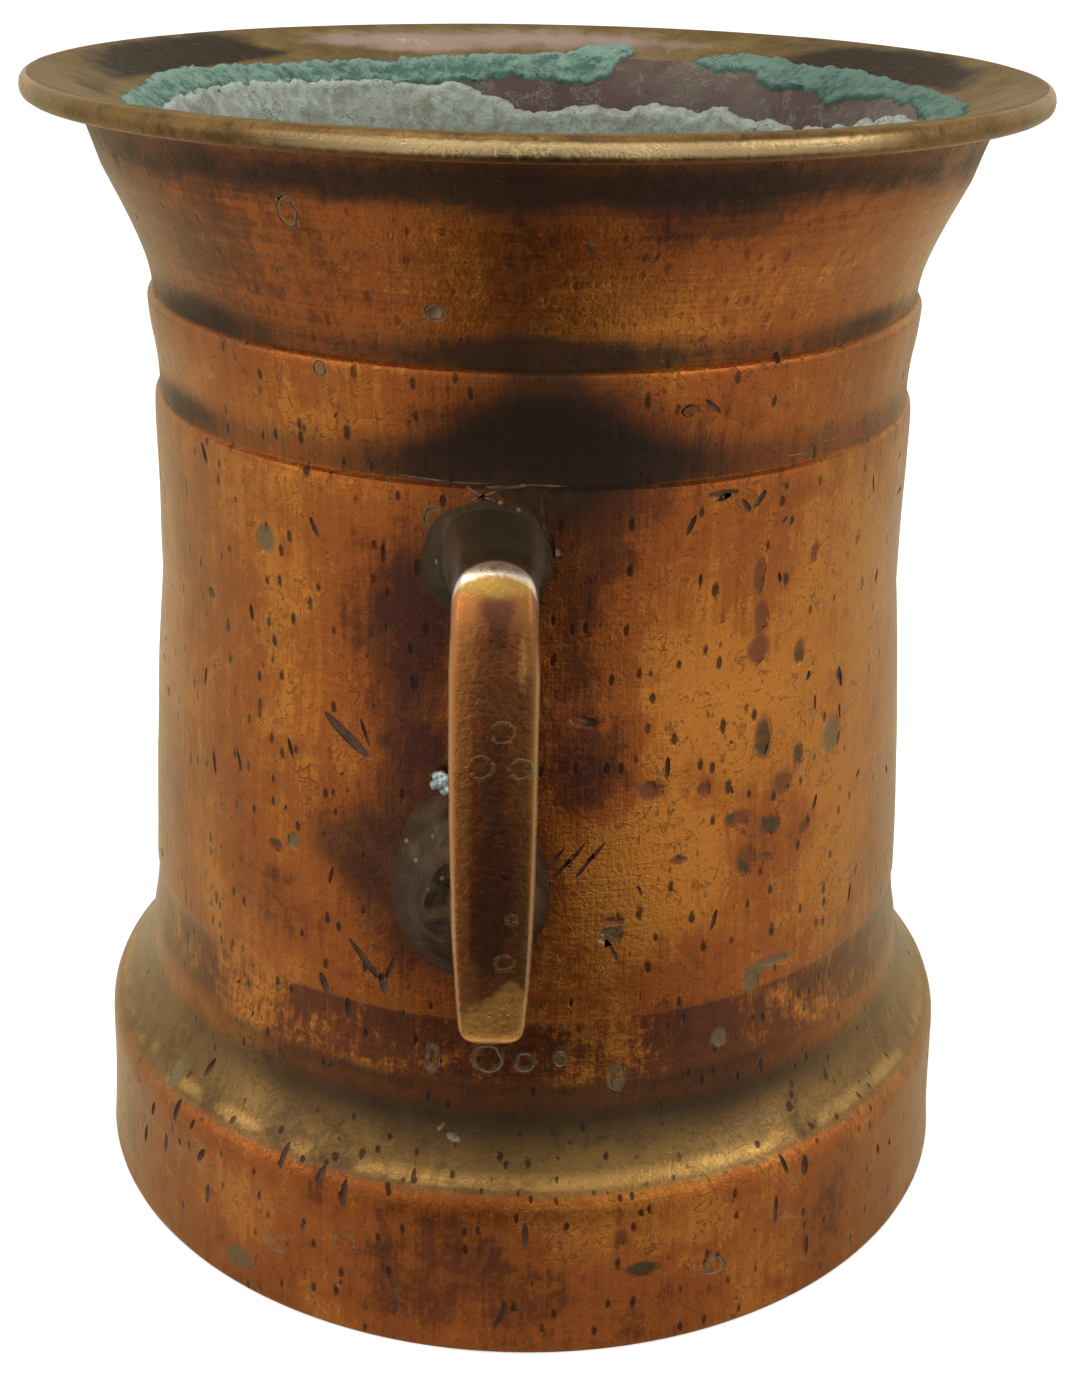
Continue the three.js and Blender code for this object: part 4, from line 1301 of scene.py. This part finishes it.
solder = solder_finish()
upper_bank = solder_bank("upper_bank", -4.4, 94.8, 7.1, 6.7, 7.0, 7.4, 3.4, 0.3)
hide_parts("upper_solder_fillet")
lower_bank = solder_bank("lower_bank", -5.4, 57.4, 9.9, 8.0, 11.9, 11.9, 4.6, 0.7)
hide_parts("lower_solder_fillet")
print("two banks of solder laid")

# %% [markdown]
# A drop of fresh-looking solder stands on the lower bank. Close up it is a crumb of
# several drops. Small balls are fused by a voxel remesh, which is the quickest way to
# make an organic lump that stays one closed skin.

# %% The solder drop
bead_low, bead_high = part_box("solder_bead")
bead_middle = (bead_low + bead_high) / 2
crumb = bmesh.new()
random.seed(7)
# Sideways, height and radius of each small ball
balls = [
    (0, 0.1, 0.85), (0.7, 0.6, 0.6), (-0.5, 0.75, 0.55), (0.4, -0.7, 0.62), (-0.7, -0.2, 0.5),
    (0.1, 1.15, 0.42),
]
for sideways, rise, size in balls:
    verts = bmesh.ops.create_icosphere(crumb, subdivisions=3, radius=size * MM)["verts"]
    seat = bead_middle + Vector((sideways, random.uniform(-0.15, 0.15), rise)) * MM
    bmesh.ops.translate(crumb, verts=verts, vec=seat)
crumb_voxel = 0.11
# The crumb's lumps, their size in metres and their depth in millimetres
crumb_lumps = 0.0006
crumb_depth = 0.14
drop_finish = mark_finish("bright solder", colour(96, 112, 108), colour(196, 206, 198), 0.42, 0.5)
crumb_piece = object_from(crumb, "crumb")
fused = crumb_piece.modifiers.new("fused", "REMESH")
fused.mode = "VOXEL"
fused.voxel_size = crumb_voxel * MM
lump = baked(crumb_piece)
for vert in lump.verts:
    vert.co += vert.normal * noise.noise(vert.co / crumb_lumps) * crumb_depth * MM
bmesh.ops.smooth_vert(lump, verts=lump.verts, factor=0.5, use_axis_x=True, use_axis_y=True,
                      use_axis_z=True)
shade(lump, 60)
bead = object_from(lump, "solder_drop", drop_finish)
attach(bead, "root")
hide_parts("solder_bead")
print(f"{len(bead.data.polygons)} faces on the drop")

# %% [markdown]
# Wet things stood in this bowl, and salts grew where they dried: green ones in a ring
# round the throat, and a grey-white scale below. A growth like this has a ragged edge
# and real thickness. So a fine grid is wrapped on the inside wall, raised where salts
# grow and sunk into the metal where they don't. What is sunk is deleted, and what is
# left is given a back, so each crust is a closed skin that meets the wall raggedly.

# %% The salts
scale_band = 30
# Salts sunk deeper than this under the wall are left out, and none lies deeper than buried
sunk_from = -0.12
buried = -0.3
skin_thickness = 0.35
look_ahead = 0.4
inner_along = np.concatenate([[0], np.cumsum(np.hypot(*np.diff(np.array(inside), axis=0).T))])
# Bearing from +X, anticlockwise from above, and distance down the inside wall from the rim
green_top = [
    (3, 9.2), (19, 9.7), (32, 8.6), (45, 8.8), (52, 7.4), (58, 8.0), (61, 9.0), (64, 10.6),
    (70, 11), (74.5, 8.1), (78, 6.0), (80, 7.1), (85, 9.4), (93, 10.4), (102, 10.5),
    (114, 11.4), (132, 10.9), (153, 9.9), (162, 8.9),
    (177, 11.0), (200, 9.6), (225, 10.6), (250, 9.2), (280, 10.4), (310, 9.4), (340, 8.4),
]
green_foot = [
    (6, 13.2), (19, 12.8), (23, 14), (29, 14.3), (32, 15.6), (37, 14.2), (46, 14.5),
    (53, 11.6), (58, 12.1), (62, 11.0), (64, 10.4), (70, 10.0), (74, 8.6), (76, 11.4),
    (77.5, 14.4), (81.5, 15.8), (90, 15.2), (99, 15.1), (106, 15.9), (115, 15.6),
    (135, 15.2), (158, 14.6), (172, 14.4), (200, 15.2), (240, 14.2), (280, 15.4), (330, 14),
]
scale_top = [
    (7, 14.6), (24, 17.2), (36, 18.9), (46, 18.9), (50, 18.8), (54, 17.9), (56.6, 17.9),
    (59, 18.7), (65, 18.6), (68, 17.9), (71, 18.4), (73, 19.4), (75.6, 18.7), (83, 18.7),
    (86, 19.5), (91.5, 19.4), (95, 18.8), (100.7, 16.5), (107, 15.4), (120, 14.6),
    (140, 13.8), (158, 13.2), (175, 13.6), (200, 14.4), (240, 13.6), (280, 14.6), (330, 13.8),
]


def edge_at(edge, bearing):
    """Where an edge lies at a bearing, from its few measured places."""
    return np.interp(bearing, *zip(*edge), period=360)


def crust(nearest, furthest, columns, rows, rise):
    """A closed skin on the inside wall. Its rise is how far it stands proud, or is sunk if below 0."""
    bm = bmesh.new()
    bmesh.ops.create_grid(bm, x_segments=columns, y_segments=rows, size=1)
    bearings = np.array([(vert.co.x + 1) * 180 for vert in bm.verts])
    distances = np.array([nearest + (vert.co.y + 1) / 2 * (furthest - nearest) for vert in bm.verts])
    inner_radii, inner_levels = zip(*inside)
    radii = np.interp(distances, inner_along, inner_radii)
    levels = np.interp(distances, inner_along, inner_levels)
    ahead_radii = np.interp(distances + look_ahead, inner_along, inner_radii)
    ahead_levels = np.interp(distances + look_ahead, inner_along, inner_levels)
    slope = np.arctan2(levels - ahead_levels, radii - ahead_radii)
    sunk = set()
    for vert, bearing, distance, radius, level, lean in zip(
        bm.verts, bearings, distances, radii, levels, slope
    ):
        angle = math.radians(bearing)
        spot = Vector((radius * math.cos(angle), radius * math.sin(angle), level))
        proud = rise(bearing, distance, spot)
        if proud < sunk_from:
            sunk.add(vert)
        proud = max(proud, buried)
        radius -= proud * math.sin(lean)
        level += proud * math.cos(lean)
        vert.co = Vector((radius * math.cos(angle), radius * math.sin(angle), level)) * MM
    bare = [face for face in bm.faces if all(vert in sunk for vert in face.verts)]
    bmesh.ops.delete(bm, geom=bare, context="FACES")
    bmesh.ops.remove_doubles(bm, verts=bm.verts, dist=0.01 * MM)
    bmesh.ops.recalc_face_normals(bm, faces=bm.faces)
    bmesh.ops.solidify(bm, geom=bm.faces[:], thickness=skin_thickness * MM)
    bmesh.ops.recalc_face_normals(bm, faces=bm.faces)
    shade(bm, 70)
    return bm


def salt_noise(spot, size, seed):
    """From -1 to 1, in lumps about size across."""
    return noise.noise(spot / size + Vector((seed, 0, 0)))


def green_rise(bearing, distance, spot):
    """How far the green salts stand proud of the wall, in millimetres."""
    edge = min(distance - edge_at(green_top, bearing), edge_at(green_foot, bearing) - distance)
    edge += salt_noise(spot, 1.8, 3) * 0.9 + salt_noise(spot, 0.7, 9) * 0.4
    body = 0.35 + salt_noise(spot, 2.6, 5) * 0.2 + salt_noise(spot, 0.8, 11) * 0.22
    curl = 0.35 * math.exp(-((edge - 0.5) / 0.5) ** 2)
    return min(1, max(-1, edge / 0.7)) * (max(body, 0.12) + curl) if edge > 0 else edge


def scale_rise(bearing, distance, spot):
    """How far the white scale stands proud of the wall, in millimetres."""
    top = edge_at(scale_top, bearing)
    edge = min(distance - top, top + scale_band - distance) + salt_noise(spot, 2.4, 1) * 0.9
    edge += salt_noise(spot, 0.9, 4) * 0.3
    body = 0.4 + salt_noise(spot, 5.0, 8) * 0.2 + salt_noise(spot, 1.1, 2) * 0.1
    curl = 0.4 * math.exp(-((edge - 0.7) / 0.7) ** 2)
    return min(1, edge / 0.8) * (max(body, 0.1) + curl) if edge > 0 else edge


green_skin = crust(4.5, 18, 620, 30, green_rise)
scale_skin = crust(12, 50, 420, 58, scale_rise)
print(f"{len(green_skin.faces)} faces of green salts and {len(scale_skin.faces)} of scale")

# %% [markdown]
# Both salts are chalky, so they are rough and not metal at all. The green is darker in
# its hollows and nearly white on its crumbs. The scale is blue-grey near the green and
# olive-grey lower down, with dark cracks.

# %% The salts' finishes
def salt_finish(name, deep, main, light, crack, seed, shade_right):
    """A powdery crust in three tones, with thin cracks."""
    f = Finish(name)
    place = f.place()
    broad = f.noise(f.shift(place, seed, 0, 0), 7, 4, 0.6, 0.5) - 0.5
    mid = f.noise(f.shift(place, 0, seed, 0), 1.8, 5, 0.65, 0.6) - 0.5
    fine = f.noise(f.shift(place, 0, 0, seed), 0.4, 4, 0.7) - 0.5
    tone = f.mix(f.step(broad + mid * 0.8, -0.3, 0.15), deep, main)
    tone = f.mix(f.step(mid + fine * 0.7 + f.painted("proud") * 0.5, 0.12, 0.55), tone, light)
    tone = f.mix(f.step(f.axis(place, "X"), 5, 40) * shade_right, tone, deep)
    cracks = f.step(f.size_of(mid + fine * 0.2), 0.012, 0.003) * f.step(broad, 0.02, 0.12)
    tone = f.mix(cracks * 0.7, tone, crack)
    f.set(Base_Color=tone, Roughness=0.92, Metallic=0)
    f.set(Normal=f.bump(mid * 0.6 + fine - cracks * 0.5, 0.2))
    return f


verdigris = salt_finish("verdigris", colour(58, 88, 76), colour(84, 122, 104), colour(132, 160, 142),
                        colour(48, 72, 64), 13, 0.5)
lime = salt_finish("lime scale", colour(140, 142, 122), colour(172, 178, 162), colour(190, 198, 188),
                   colour(60, 62, 54), 27, 0)
for bm, name, finish, node, slot in (
    (green_skin, "green_salts", verdigris, "verdigris_crust", "verdigris"),
    (scale_skin, "white_scale", lime, "lime_scale", "lime_scale"),
):
    piece = object_from(bm, name, finish)
    places = places_of(piece)
    wall = np.interp(-places[:, 2], [-point[1] for point in inside], [point[0] for point in inside])
    paint(piece, proud=np.clip(wall - np.hypot(places[:, 0], places[:, 1]), -1, 2))
    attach(piece, "root")
    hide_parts(node)
    print(f"{name}: {triangles(piece)} triangles")
